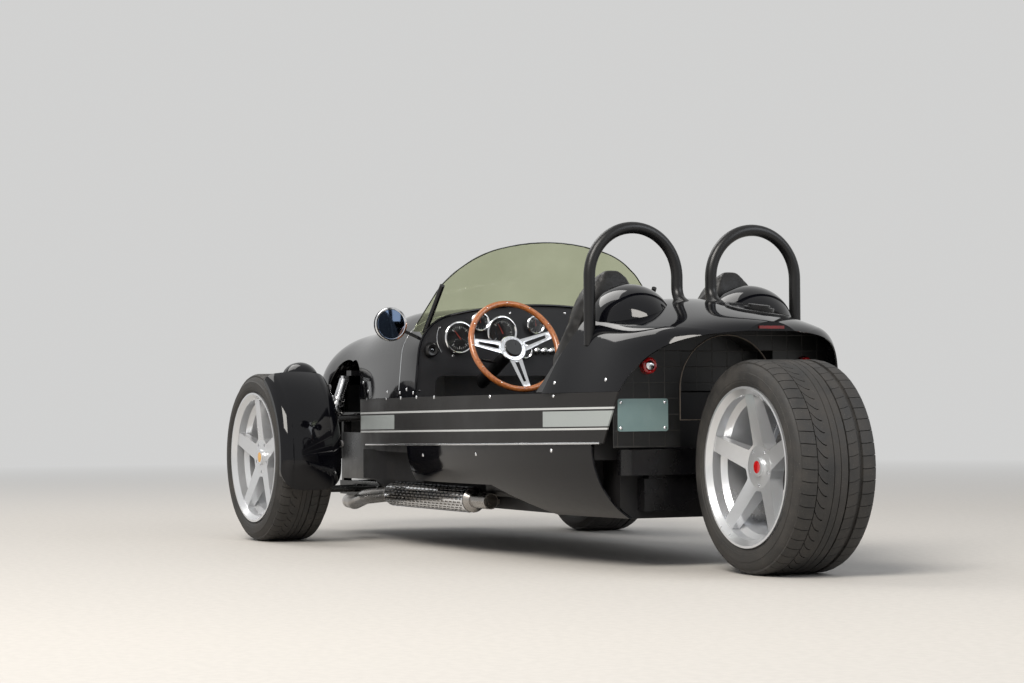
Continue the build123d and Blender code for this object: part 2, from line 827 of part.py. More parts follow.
# Front suspension: upper and lower arms, and coil springs between arm and tower
king_y = track / 2 - steer_offset
arm_pivot_y = frame_y + frame_tube + fit_gap + 14
arm_radius = 11
eye_radius = 19
stud = 8
arm_table = (
    # height of the outer eye, height of the inner pivots
    (ball_joint_high_z + 14, 467),
    (ball_joint_low_z - 14, 190),
)
with BuildPart() as arms_left:
    for outer_z, inner_z in arm_table:
        for s in (wheelbase - 60, wheelbase + 158):
            add(rod((s, arm_pivot_y, inner_z), (wheelbase, king_y, outer_z), arm_radius))
            add(rod((s - 20, arm_pivot_y, inner_z), (s + 20, arm_pivot_y, inner_z), 14))
        add(rod((wheelbase, king_y, outer_z - 9), (wheelbase, king_y, outer_z + 9), eye_radius))
    add(
        rod((wheelbase, king_y, 150), (wheelbase, king_y, 500), stud + 0.05),
        mode=Mode.SUBTRACT,
    )
    for outer_z, inner_z in arm_table:
        above = outer_z + 9
        add(rod((wheelbase, king_y, above), (wheelbase, king_y, above + 12), eye_radius), mode=Mode.SUBTRACT)
        below = outer_z - 9
        add(rod((wheelbase, king_y, below - 12), (wheelbase, king_y, below), eye_radius), mode=Mode.SUBTRACT)
    spring_foot = (wheelbase + 44, 545, 196)
    add(block((wheelbase - 30, wheelbase + 64), (528, 562), (184, 206)))
with BuildPart() as wishbones:
    add(arms_left)
    mirror(arms_left.part, about=Plane.XZ)
save(wishbones, "wishbones")

spring_top = (2596, 404, 627.5)
spring_bottom = (2596, 545, 206.5)
spring_line = Vector(*spring_top) - Vector(*spring_bottom)
spring_length = spring_line.length
spring_plane = Plane(
    origin=(at(spring_bottom[0]), spring_bottom[1], spring_bottom[2]),
    x_dir=(1, 0, 0),
    z_dir=spring_line,
)
coil_count = 9
with BuildPart() as spring_left:
    with BuildSketch(spring_plane.offset(14)):
        Circle(17)
    extrude(amount=spring_length - 28)
    for k in range(coil_count):
        with BuildSketch(spring_plane.offset(170 + k * 22)):
            Circle(27)
        extrude(amount=10)
    add(block((2584, 2608), (533, 557), (206.3, 230)))
    add(block((2584, 2608), (392, 416), (604, 627.7)))
with BuildPart() as coil_springs:
    add(spring_left)
    mirror(spring_left.part, about=Plane.XZ)
save(coil_springs, "coil_springs")

# Headlamps on arms from the front frame
lamp_radius = 76
with BuildPart() as lamp_left:
    with BuildSketch(Plane(origin=(at(0), 405, 610), x_dir=(1, 0, 0), z_dir=(0, -1, 0))):
        with BuildLine():
            Line((3000, 0), (3100, 0))
            Line((3100, 0), (3100, lamp_radius))
            Line((3100, lamp_radius), (3078, lamp_radius))
            ThreePointArc((3078, lamp_radius), (3022, 48), (3000, 0))
        make_face()
    revolve(axis=Axis((at(0), 405, 610), (1, 0, 0)))
    add(rod((2910, frame_y, 450), (3050, 385, 575), 12))
    frame_face = frame_y + frame_tube + fit_gap
    add(block((2880, 2990), (frame_y - 40, frame_face), (400, 520)), mode=Mode.SUBTRACT)
with BuildPart() as headlamps:
    add(lamp_left)
    mirror(lamp_left.part, about=Plane.XZ)
save(headlamps, "headlamps")


# Wheels are drawn with the axle along Y, the outer face towards positive Y and the hub at zero
def wheel_rim(width, hub_recess):
    lip = width / 2 - 5
    hub_face = lip - hub_recess
    drop = bead_radius - 16
    with BuildPart() as dish:
        with BuildSketch(Plane.XY):
            with BuildLine():
                Polyline(
                    (0, hub_face), (66, hub_face), (bead_radius - 2, lip - 18), (bead_radius - 2, lip - 44),
                    (78, hub_face - 44), (0, hub_face - 44), close=True,
                )
            make_face()
        revolve(axis=Axis.Y)
    with BuildPart() as star:
        with BuildSketch(Plane.XZ) as star_plan:
            Circle(74)
            with PolarLocations(0, spoke_count, start_angle=90):
                Polygon((0, -33), (bead_radius - 4, -24), (bead_radius - 4, 24), (0, 33), align=None)
            inner = [v for v in star_plan.vertices() if hypot(v.X, v.Y) < 90]
            fillet(inner, 14)
        extrude(amount=width, both=True)
        add(dish.part, mode=Mode.INTERSECT)
    with BuildPart() as rim:
        with BuildSketch(Plane.XY):
            with BuildLine():
                Polyline(
                    (lip_radius, lip), (lip_radius, lip - 8), (bead_radius, lip - 14),
                    (bead_radius, lip - 44), (drop, lip - 60), (drop, 60 - lip),
                    (bead_radius, 44 - lip), (bead_radius, 14 - lip), (lip_radius, 8 - lip),
                    (lip_radius, -lip), (lip_radius - 7, -lip), (bead_radius - 8, 16 - lip),
                    (bead_radius - 8, 45 - lip), (drop - 8, 61 - lip), (drop - 8, lip - 61),
                    (bead_radius - 8, lip - 45), (bead_radius - 8, lip - 16), (lip_radius - 7, lip),
                    close=True,
                )
            make_face()
        revolve(axis=Axis.Y)
        add(star.part)
        with BuildSketch(Plane.XZ.offset(-hub_face)):
            with PolarLocations(lug_circle_radius, spoke_count, start_angle=90 + 180 / spoke_count):
                Circle(lug_hole_radius)
        extrude(amount=20, mode=Mode.SUBTRACT)
        with BuildSketch(Plane.XZ.offset(-hub_face)):
            Circle(30)
        extrude(amount=-8, taper=8)
    return rim.part


def tyre(width, radius):
    lip = width / 2 - 5
    half = width / 2
    wall = 14
    foot = bead_radius + fit_gap
    with BuildPart() as ring:
        with BuildSketch(Plane.XY):
            with BuildLine():
                for side in (1, -1):
                    Line((foot, 0), (foot, side * (lip - 14.6)))
                    Line((foot, side * (lip - 14.6)), (lip_radius + 1, side * (lip - 8)))
                    ThreePointArc(
                        (lip_radius + 1, side * (lip - 8)),
                        (lip_radius + 26, side * half),
                        (radius - 16, side * (half - 7)),
                    )
                    ThreePointArc(
                        (radius - 16, side * (half - 7)),
                        (radius - 5, side * (half - 16)),
                        (radius - 1, side * (half - 32)),
                    )
                ThreePointArc((radius - 1, half - 32), (radius, 0), (radius - 1, 32 - half))
            make_face()
        revolve(axis=Axis.Y)
        with BuildSketch(Plane.XY):
            with BuildLine():
                Polyline(
                    (foot - 5, lip - 34), (foot + 22, lip - 30), (lip_radius + 26, half - wall),
                    (radius - 24, half - wall - 14), (radius - wall, half - wall - 30),
                    (radius - wall, 30 + wall - half), (radius - 24, 14 + wall - half),
                    (lip_radius + 26, wall - half), (foot + 22, 30 - lip), (foot - 5, 34 - lip),
                    close=True,
                )
            make_face()
        revolve(axis=Axis.Y, mode=Mode.SUBTRACT)
    return ring.part


spindle = 25
front_disc = (-32, -32 + disc_thickness)


def brake_disc(back, hub_back):
    """Disc and hat that carry the wheel on its spindle; back is the disc's inboard face."""
    with BuildPart() as disc:
        with BuildSketch(Plane.XZ.offset(-back)):
            Circle(disc_radius)
        extrude(amount=-disc_thickness)
        with BuildSketch(Plane.XZ.offset(-back)):
            Circle(72)
        extrude(amount=-(hub_back - back - fit_gap))
        with BuildSketch(Plane.XZ.offset(-back)):
            Circle(spindle + 0.05)
        extrude(amount=-(hub_back - back - 14), mode=Mode.SUBTRACT)
    return disc.part


def hub_back_of(width, recess):
    return width / 2 - 5 - recess - 44


front_hub_back = hub_back_of(front_tyre_width, front_hub_recess)
rear_hub_back = hub_back_of(rear_tyre_width, rear_hub_recess)
front_wheel_at = (at(wheelbase), track / 2, front_tyre_radius)
rear_wheel_at = (at(0), 0, rear_tyre_radius)
rear_disc_back = -74

front_rim_shape = wheel_rim(front_tyre_width, front_hub_recess)
front_tyre_shape = tyre(front_tyre_width, front_tyre_radius)
front_disc_shape = brake_disc(front_disc[0], front_hub_back)

with BuildPart() as front_rim_left:
    with Locations(front_wheel_at):
        add(front_rim_shape)
save(front_rim_left, "front_rim_left")
save(mirrored(front_rim_left), "front_rim_right")
with BuildPart() as front_tyre_left:
    with Locations(front_wheel_at):
        add(front_tyre_shape)
save(front_tyre_left, "front_tyre_left")
save(mirrored(front_tyre_left), "front_tyre_right")
with BuildPart() as front_disc_left:
    with Locations(front_wheel_at):
        add(front_disc_shape)
save(front_disc_left, "front_disc_left")
save(mirrored(front_disc_left), "front_disc_right")
with BuildPart() as rear_rim:
    with Locations(rear_wheel_at):
        add(wheel_rim(rear_tyre_width, rear_hub_recess))
save(rear_rim, "rear_rim")
with BuildPart() as rear_tyre:
    with Locations(rear_wheel_at):
        add(tyre(rear_tyre_width, rear_tyre_radius))
save(rear_tyre, "rear_tyre")
with BuildPart() as rear_disc:
    with Locations(rear_wheel_at):
        add(brake_disc(rear_disc_back, rear_hub_back))
save(rear_disc, "rear_disc")

# Front knuckle: upright, spindle, studs, caliper and the fender's stays, about the wheel's centre
disc_gap = 6


def caliper(disc_back):
    with BuildPart() as grip:
        with BuildSketch(Plane.XZ.offset(-(disc_back - 20))):
            with Locations((-140, 0)):
                Rectangle(64, 130)
        extrude(amount=-(disc_thickness + 40))
        with BuildSketch(Plane.XZ.offset(-(disc_back - disc_gap))):
            Circle(disc_radius + disc_gap)
        extrude(amount=-(disc_thickness + 2 * disc_gap), mode=Mode.SUBTRACT)
    return grip.part


fender_radius = front_tyre_radius + fender_gap
fender_wall = 4
fender_crown = 30
stay_ends = (129, 171)
stay_root = (-100, 78)
upright_low = ball_joint_low_z - front_tyre_radius
upright_high = ball_joint_high_z - front_tyre_radius
with BuildPart() as knuckle_shape:
    with BuildSketch(Plane.XY.offset(upright_low)):
        with Locations((0, -steer_offset - 2)):
            Rectangle(48, 40)
    extrude(amount=upright_high - upright_low)
    with BuildSketch(Plane.XY.offset(upright_low - 24)):
        with Locations((0, -steer_offset)):
            Circle(stud)
    extrude(amount=upright_high - upright_low + 48)
    with BuildSketch(Plane.XZ.offset(steer_offset + 22)):
        Circle(54)
    extrude(amount=-46)
    with BuildSketch(Plane.XZ.offset(steer_offset)):
        Circle(spindle)
    extrude(amount=-(steer_offset + front_hub_back - 16))
    add(caliper(front_disc[0]))
    with BuildSketch(Plane.XZ.offset(steer_offset + 2)):
        with Locations((-80, 0)):
            Rectangle(160, 44)
    extrude(amount=-20)
    with BuildSketch(Plane.XZ.offset(fender_half + fit_gap + 1)):
        with Locations(stay_root):
            Rectangle(40, 40)
    extrude(amount=-(fender_half - steer_offset + 4))
    with BuildSketch(Plane.XZ.offset(steer_offset + 2)):
        with Locations((stay_root[0] / 2, stay_root[1] - 10)):
            Rectangle(-stay_root[0] + 30, 32)
    extrude(amount=-16)
    with BuildSketch(Plane.XZ.offset(fender_half + fit_gap)):
        for angle in stay_ends:
            end = Vector(cos(radians(angle)), sin(radians(angle))) * (fender_radius - 6)
            way = end - Vector(*stay_root)
            middle = Vector(*stay_root) + way * 0.5
            with Locations(Location((middle.X, middle.Y), degrees(atan2(way.Y, way.X)))):
                SlotOverall(way.length + 24, 24)
    extrude(amount=7)
with BuildPart() as knuckle_left:
    with Locations(front_wheel_at):
        add(knuckle_shape.part)
save(knuckle_left, "knuckle_left")
save(mirrored(knuckle_left), "knuckle_right")

# Front fenders: crowned strips that turn down at both edges and wrap the tyre's back
fender_front_angle = 120
fender_rear_angle = 198
fender_corner = 76
start = radians(fender_rear_angle)
fender_plane = Plane(
    origin=(0, 0, 0), x_dir=(cos(start), 0, sin(start)), z_dir=(-sin(start), 0, cos(start))
)
with BuildPart() as fender_shape:
    with BuildSketch(fender_plane):
        with BuildLine():
            r, h, t = fender_radius, fender_half, fender_wall
            Polyline((r - 18, -h), (r - 2, -h))
            ThreePointArc((r - 2, -h), (r + 14, -h + 14), (r + 24, -h + 44))
            ThreePointArc((r + 24, -h + 44), (r + fender_crown, 0), (r + 24, h - 44))
            ThreePointArc((r + 24, h - 44), (r + 14, h - 14), (r - 2, h))
            Polyline((r - 2, h), (r - 18, h), (r - 18, h - t), (r - 2, h - t))
            ThreePointArc((r - 2, h - t), (r + 11, h - 16), (r + 20, h - 44))
            ThreePointArc((r + 20, h - 44), (r + fender_crown - t, 0), (r + 20, -h + 44))
            ThreePointArc((r + 20, -h + 44), (r + 11, -h + 16), (r - 2, -h + t))
            Polyline((r - 2, -h + t), (r - 18, -h + t), (r - 18, -h))
        make_face()
    revolve(axis=Axis.Y, revolution_arc=fender_rear_angle - fender_front_angle)
    fender_foot = (r + fender_crown) * sin(start)
    with BuildSketch(Plane.YZ):
        with Locations((0, fender_foot + fender_radius)):
            RectangleRounded(2 * fender_half, 2 * fender_radius, fender_corner)
    extrude(amount=2 * fender_radius, both=True, mode=Mode.INTERSECT)
with BuildPart() as front_fender_left:
    with Locations(front_wheel_at):
        add(fender_shape.part)
save(front_fender_left, "front_fender_left")
save(mirrored(front_fender_left), "front_fender_right")

# Rear bumper bar and the box below it, with the swing arm's lugs
bar_low, bar_high = 297, 378
box_low, box_high = 182, 285
pivot_station, pivot_z = 366, 234
with BuildPart() as rear_bar:
    with BuildSketch(Plane.XY.offset(bar_low)) as bar_plan:
        with Locations((at(408), 0)):
            Rectangle(66, 2 * 352)
        fillet(bar_plan.vertices(), 30)
    extrude(amount=bar_high - bar_low)
    add(block((398, skirt_rear + 1.7), (-268, 268), (box_low, box_high)))
    add(block((402, 440), (-250, 250), (box_high - 5, bar_low + 5)))
    for y in (-262, -146):
        add(block((340, 400), (y, y + 10), (206, 262)))
save(rear_bar, "rear_bar")

# Swing arm on the right of the rear wheel, with spindle and caliper
arm_y = -203
with BuildPart() as swing_arm:
    with BuildSketch(Plane.XZ.offset(-(arm_y - 24))):
        with BuildLine():
            Polyline(
                (at(pivot_station), pivot_z - 27),
                (at(pivot_station), pivot_z + 27),
                (at(210), 330),
                (at(0), rear_tyre_radius + 56),
                (at(-44), rear_tyre_radius + 36),
                (at(-52), rear_tyre_radius - 36),
                (at(0), rear_tyre_radius - 56),
                (at(200), 232),
                close=True,
            )
        make_face()
    extrude(amount=-48)
    add(rod((pivot_station, -251.5, pivot_z), (pivot_station, -146.5, pivot_z), 26))
    add(rod((0, arm_y + 20, rear_tyre_radius), (0, rear_hub_back - 16, rear_tyre_radius), spindle))
    add(rod((0, arm_y + 20, rear_tyre_radius), (0, rear_disc_back - 14, rear_tyre_radius), 56))
    with Locations(Pos(*rear_wheel_at) * Rot(0, 180, 0)):
        add(caliper(rear_disc_back))
    add(block((40, 172), (rear_disc_back - 60, rear_disc_back - 14), (300, 356)))
    add(block((40, 172), (arm_y, rear_disc_back - 50), (310, 346)))
save(swing_arm, "swing_arm")

# Exhausts, one along each side: pipe, shielded silencer and tail pipe on hangers
pipe = exhaust_pipe / 2
shield = shield_dia / 2
silencer_table = (
    # station, radius
    (2150, pipe + 3), (2110, shield), (1405, shield), (1389, pipe), (1264, pipe),
)
front_pipe_route = (
    # station, y, z
    (2120, exhaust_y, exhaust_z),
    (2400, exhaust_y, 165),
    (2530, 392, 140),
    (2720, 340, 138),
)
with BuildPart() as front_pipe:
    with BuildLine() as pipe_path:
        FilletPolyline(*[(at(s), y, z) for s, y, z in front_pipe_route], radius=150)
    with BuildSketch(Plane(origin=pipe_path.line @ 0, z_dir=pipe_path.line % 0)):
        Circle(pipe)
    sweep()
with BuildPart() as exhaust_left:
    with BuildSketch(Plane(origin=(at(0), exhaust_y, exhaust_z), x_dir=(1, 0, 0), z_dir=(0, -1, 0))):
        with BuildLine():
            Polyline((1264, 0), (2150, 0), *silencer_table, close=True)
        make_face()
    axis = Axis((at(0), exhaust_y, exhaust_z), (1, 0, 0))
    revolve(axis=axis)
    add(rod((1264, exhaust_y, exhaust_z), (1370, exhaust_y, exhaust_z), pipe - 3), mode=Mode.SUBTRACT)
    add(front_pipe.part)
    for s in (1340, 2165):
        reach = (tub_floor_half + fit_gap, exhaust_y - pipe + 3)
        add(block((s, s + 24), reach, (exhaust_z - 15, exhaust_z + 3)))
with BuildPart() as exhausts:
    add(exhaust_left)
    mirror(exhaust_left.part, about=Plane.XZ)
save(exhausts, "exhausts")

# Fuel filler on the deck behind the right fairing: an oval dish and a round cap
cap_station, cap_y = 296, -88
filler_length, filler_width = 228, 196
cap_radius = 35
filler_plane = Plane(origin=(at(cap_station), cap_y, 780), z_dir=(-0.13, -0.06, 1))
with BuildPart() as filler_rim:
    add(upper_body(deck_table, deck_base, deck_foot, -5, rear_move=-5))
    with BuildSketch(Plane.XY.offset(700)) as oval:
        with Locations((at(cap_station), cap_y)):
            Ellipse(filler_length / 2, filler_width / 2)
            Ellipse(filler_length / 2 - 12, filler_width / 2 - 12, mode=Mode.SUBTRACT)
    extrude(amount=200, mode=Mode.INTERSECT)
    add(deck_clear, mode=Mode.SUBTRACT)
with BuildPart() as fuel_cap:
    with BuildSketch(filler_plane):
        Circle(cap_radius)
    extrude(amount=54)
    with BuildSketch(filler_plane):
        Circle(cap_radius + 14)
        Circle(cap_radius + 2, mode=Mode.SUBTRACT)
    extrude(amount=46)
    add(deck_clear, mode=Mode.SUBTRACT)
    add(filler_rim.part)
save(fuel_cap, "fuel_cap")
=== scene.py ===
import math

import bpy
from mathutils import Matrix, Vector


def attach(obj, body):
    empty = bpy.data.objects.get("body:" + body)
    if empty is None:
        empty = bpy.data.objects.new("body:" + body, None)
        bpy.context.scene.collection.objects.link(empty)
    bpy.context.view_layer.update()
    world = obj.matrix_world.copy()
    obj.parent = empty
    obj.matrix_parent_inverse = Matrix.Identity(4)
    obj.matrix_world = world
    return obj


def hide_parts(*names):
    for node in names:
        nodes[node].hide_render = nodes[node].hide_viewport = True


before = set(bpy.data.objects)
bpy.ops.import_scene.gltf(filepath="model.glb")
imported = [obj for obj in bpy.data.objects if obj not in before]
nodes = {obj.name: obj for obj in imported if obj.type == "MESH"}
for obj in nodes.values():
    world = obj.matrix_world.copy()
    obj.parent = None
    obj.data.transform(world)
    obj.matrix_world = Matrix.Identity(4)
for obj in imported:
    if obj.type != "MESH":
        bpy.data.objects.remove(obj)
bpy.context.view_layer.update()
finishes = {}
rearAxle = -1.462          # x of the rear axle, metres
frontAxle = 2577           # its station: a station is millimetres ahead of the rear axle
rearFace = 340             # station of the rear panel's face
dashFace = 1705 + 8        # station of the dashboard's face
outside = 0.8              # y beyond the body's side, where rays start
mergeGap = 0.00002
mirrorY = Matrix.Diagonal((1, -1, 1, 1))
upright = Matrix.Rotation(math.pi / 2, 4, 'X')      # stands a shape spun about Y along Z


def at(station):           # x of a station
    return rearAxle + station / 1000


# helpers
def deselect():
    bpy.ops.object.select_all(action='DESELECT')


def current():
    return bpy.context.object


def pick(piece):                  # this piece alone is selected and active
    deselect()
    piece.select_set(True)
    bpy.context.view_layer.objects.active = piece


def enterEdit(piece, mode='FACE'):       # edit mode with everything selected
    pick(piece)
    bpy.ops.object.mode_set(mode='EDIT')
    bpy.ops.mesh.select_mode(type=mode)
    bpy.ops.mesh.select_all(action='SELECT')


def leaveEdit():
    bpy.ops.object.mode_set(mode='OBJECT')


def pickFaces(piece, test):       # edit mode with the faces that pass, by centre and normal
    enterEdit(piece)
    leaveEdit()
    for v in piece.data.vertices:
        v.select = False
    for e in piece.data.edges:
        e.select = False
    for f in piece.data.polygons:
        f.select = test(f.center, f.normal)
    bpy.ops.object.mode_set(mode='EDIT')


def closeMesh():                  # in edit mode: doubles merged, faces turned outwards
    bpy.ops.mesh.select_all(action='SELECT')
    bpy.ops.mesh.remove_doubles(threshold=mergeGap)
    bpy.ops.mesh.normals_make_consistent(inside=False)
    leaveEdit()


def settle(piece):                # place into the mesh, object back to the origin
    pick(piece)
    bpy.ops.object.transform_apply(location=True, rotation=True, scale=True)


def addModifier(piece, kind, **values):
    m = piece.modifiers.new(kind.title(), kind)
    for key, value in values.items():
        setattr(m, key, value)
    pick(piece)
    bpy.ops.object.modifier_apply(modifier=m.name)


def done(piece, name, finish, body="chassis", angle=35):     # named, painted and put on its body
    piece.name = name
    piece.data.name = name
    settle(piece)
    bpy.ops.object.shade_smooth_by_angle(angle=math.radians(angle))
    piece.data.materials.clear()
    piece.data.materials.append(finishes[finish])
    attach(piece, body)


def joined(pieces):
    deselect()
    for p in pieces:
        p.select_set(True)
    bpy.context.view_layer.objects.active = pieces[0]
    if len(pieces) > 1:
        bpy.ops.object.join()
    return current()


def copyOf(piece, move):          # a copy with its own mesh, moved by a matrix
    twin = piece.copy()
    twin.data = piece.data.copy()
    bpy.context.scene.collection.objects.link(twin)
    twin.data.transform(move)
    if move.determinant() < 0:
        twin.data.flip_normals()
    return twin


def bothSides(piece):             # a piece and its mirror image, joined
    return joined([piece, copyOf(piece, mirrorY)])


def spun(points, steps, axis=(0, 1, 0)):       # a chain of (x, y) points spun round an axis
    mesh = bpy.data.meshes.new("turned")
    mesh.from_pydata([(a, b, 0) for a, b in points], [(i, i + 1) for i in range(len(points) - 1)], [])
    piece = bpy.data.objects.new("turned", mesh)
    bpy.context.scene.collection.objects.link(piece)
    enterEdit(piece, 'VERT')
    bpy.ops.mesh.spin(steps=steps, angle=math.tau, center=(0, 0, 0), axis=axis)
    closeMesh()
    return piece


def turned(points, steps, into):       # (radius, height) points spun round the Z axis of a matrix
    piece = spun(points, steps)
    piece.data.transform(into @ upright)
    return piece


def tubeAlong(points, radius, closed=False, fine=3):     # a round line through points
    route = bpy.data.curves.new("route", 'CURVE')
    route.dimensions = '3D'
    route.bevel_depth = radius
    route.bevel_resolution = fine
    route.use_fill_caps = not closed
    run = route.splines.new('POLY')
    run.use_cyclic_u = closed
    run.points.add(len(points) - 1)
    for p, v in zip(run.points, points):
        p.co = (*v, 1)
    piece = bpy.data.objects.new("route", route)
    bpy.context.scene.collection.objects.link(piece)
    pick(piece)
    bpy.ops.object.convert(target='MESH')
    piece = current()
    enterEdit(piece)
    closeMesh()
    return piece


def bar(size, center=(0, 0, 0), edge=0.0):     # a box, with softened edges if edge is given
    deselect()
    bpy.ops.mesh.primitive_cube_add(size=1, location=center)
    piece = current()
    piece.scale = size
    settle(piece)
    if edge:
        addModifier(piece, 'BEVEL', width=edge, segments=2)
    return piece


def ball(place, radius, segments=10):
    deselect()
    bpy.ops.mesh.primitive_uv_sphere_add(segments=segments, ring_count=6, radius=radius)
    current().data.transform(Matrix.Translation(place))
    return current()


def onCircle(radius, turn):       # a point of a circle about the origin
    return radius * math.cos(turn), radius * math.sin(turn)


def facing(direction, place):     # matrix that turns local Z to a direction
    turn = Vector(direction).normalized().to_track_quat('Z', 'Y').to_matrix().to_4x4()
    return Matrix.Translation(place) @ turn


def surface(name, start, direction):           # a ray to a CAD node: hit, place and normal
    return nodes[name].ray_cast(Vector(start), Vector(direction))[:3]


# materials
def material(name, color, rough=0.5, metal=0.0, **more):
    m = bpy.data.materials.new(name)
    m.use_nodes = True
    b = m.node_tree.nodes["Principled BSDF"]
    b.inputs["Base Color"].default_value = (*color, 1)
    b.inputs["Roughness"].default_value = rough
    b.inputs["Metallic"].default_value = metal
    for key, value in more.items():
        b.inputs[key.replace("_", " ")].default_value = value
    finishes[name] = m
    return m


def node(m, kind, **values):
    n = m.node_tree.nodes.new(kind)
    for key, value in values.items():
        if key in n.inputs:
            n.inputs[key].default_value = value
        else:
            setattr(n, key, value)
    return n


def link(m, a, b):
    m.node_tree.links.new(a, b)


def shaderOf(m):
    return m.node_tree.nodes["Principled BSDF"]


def toShader(m, value, socket="Base Color"):
    link(m, value, shaderOf(m).inputs[socket])


def objectCoords(m, scale=(1, 1, 1)):
    coords = node(m, "ShaderNodeTexCoord")
    mapping = node(m, "ShaderNodeMapping", Scale=scale)
    link(m, coords.outputs["Object"], mapping.inputs["Vector"])
    return mapping.outputs["Vector"]


def noise(m, vector, scale, detail, rough=0.5):
    n = node(m, "ShaderNodeTexNoise", Scale=scale, Detail=detail, Roughness=rough)
    link(m, vector, n.inputs["Vector"])
    return n.outputs["Fac"]


def addBump(m, height, strength, distance, normal=None, onShader=True):
    bump = node(m, "ShaderNodeBump", Strength=strength, Distance=distance)
    link(m, height, bump.inputs["Height"])
    if normal is not None:
        link(m, normal, bump.inputs["Normal"])
    if onShader:
        toShader(m, bump.outputs["Normal"], "Normal")
    return bump.outputs["Normal"]


def ranged(m, value, low, high, fromLow=0.0, fromHigh=1.0):
    r = node(m, "ShaderNodeMapRange")
    for key, number in (("From Min", fromLow), ("From Max", fromHigh), ("To Min", low), ("To Max", high)):
        r.inputs[key].default_value = number
    link(m, value, r.inputs["Value"])
    return r.outputs["Result"]


def mixColors(m, factor, first, second):
    mix = node(m, "ShaderNodeMix", data_type='RGBA')
    link(m, factor, mix.inputs[0])
    for socket, value in ((mix.inputs[6], first), (mix.inputs[7], second)):
        if isinstance(value, tuple):
            socket.default_value = (*value, 1)
        else:
            link(m, value, socket)
    return mix.outputs[2]


def together(m, a, b, kind='MULTIPLY'):
    n = node(m, "ShaderNodeMath", operation=kind)
    link(m, a, n.inputs[0])
    link(m, b, n.inputs[1])
    return n.outputs[0]


def between(m, value, low, high, soft):        # 1 inside a range, 0 outside
    up = ranged(m, value, 0, 1, low - soft, low + soft)
    down = ranged(m, value, 1, 0, high - soft, high + soft)
    return together(m, up, down)


# a finish with uneven gloss, a fine surface texture and a little dust
def makeFinish(name, color, rough, metal, wear, tint=None, distance=0.0004, stretch=(1, 1, 1), **shader):
    m = material(name, color, rough, metal, **shader)
    low, high, scale, bumpScale, bump = wear
    vector = objectCoords(m, stretch)
    smear = noise(m, vector, scale, 6, 0.6)
    toShader(m, ranged(m, smear, low, high, 0.3, 0.7), "Roughness")
    if tint is not None:
        toShader(m, mixColors(m, ranged(m, smear, 0, 1, 0.35, 0.75), color, tint))
    addBump(m, noise(m, vector, bumpScale, 3), bump, distance)


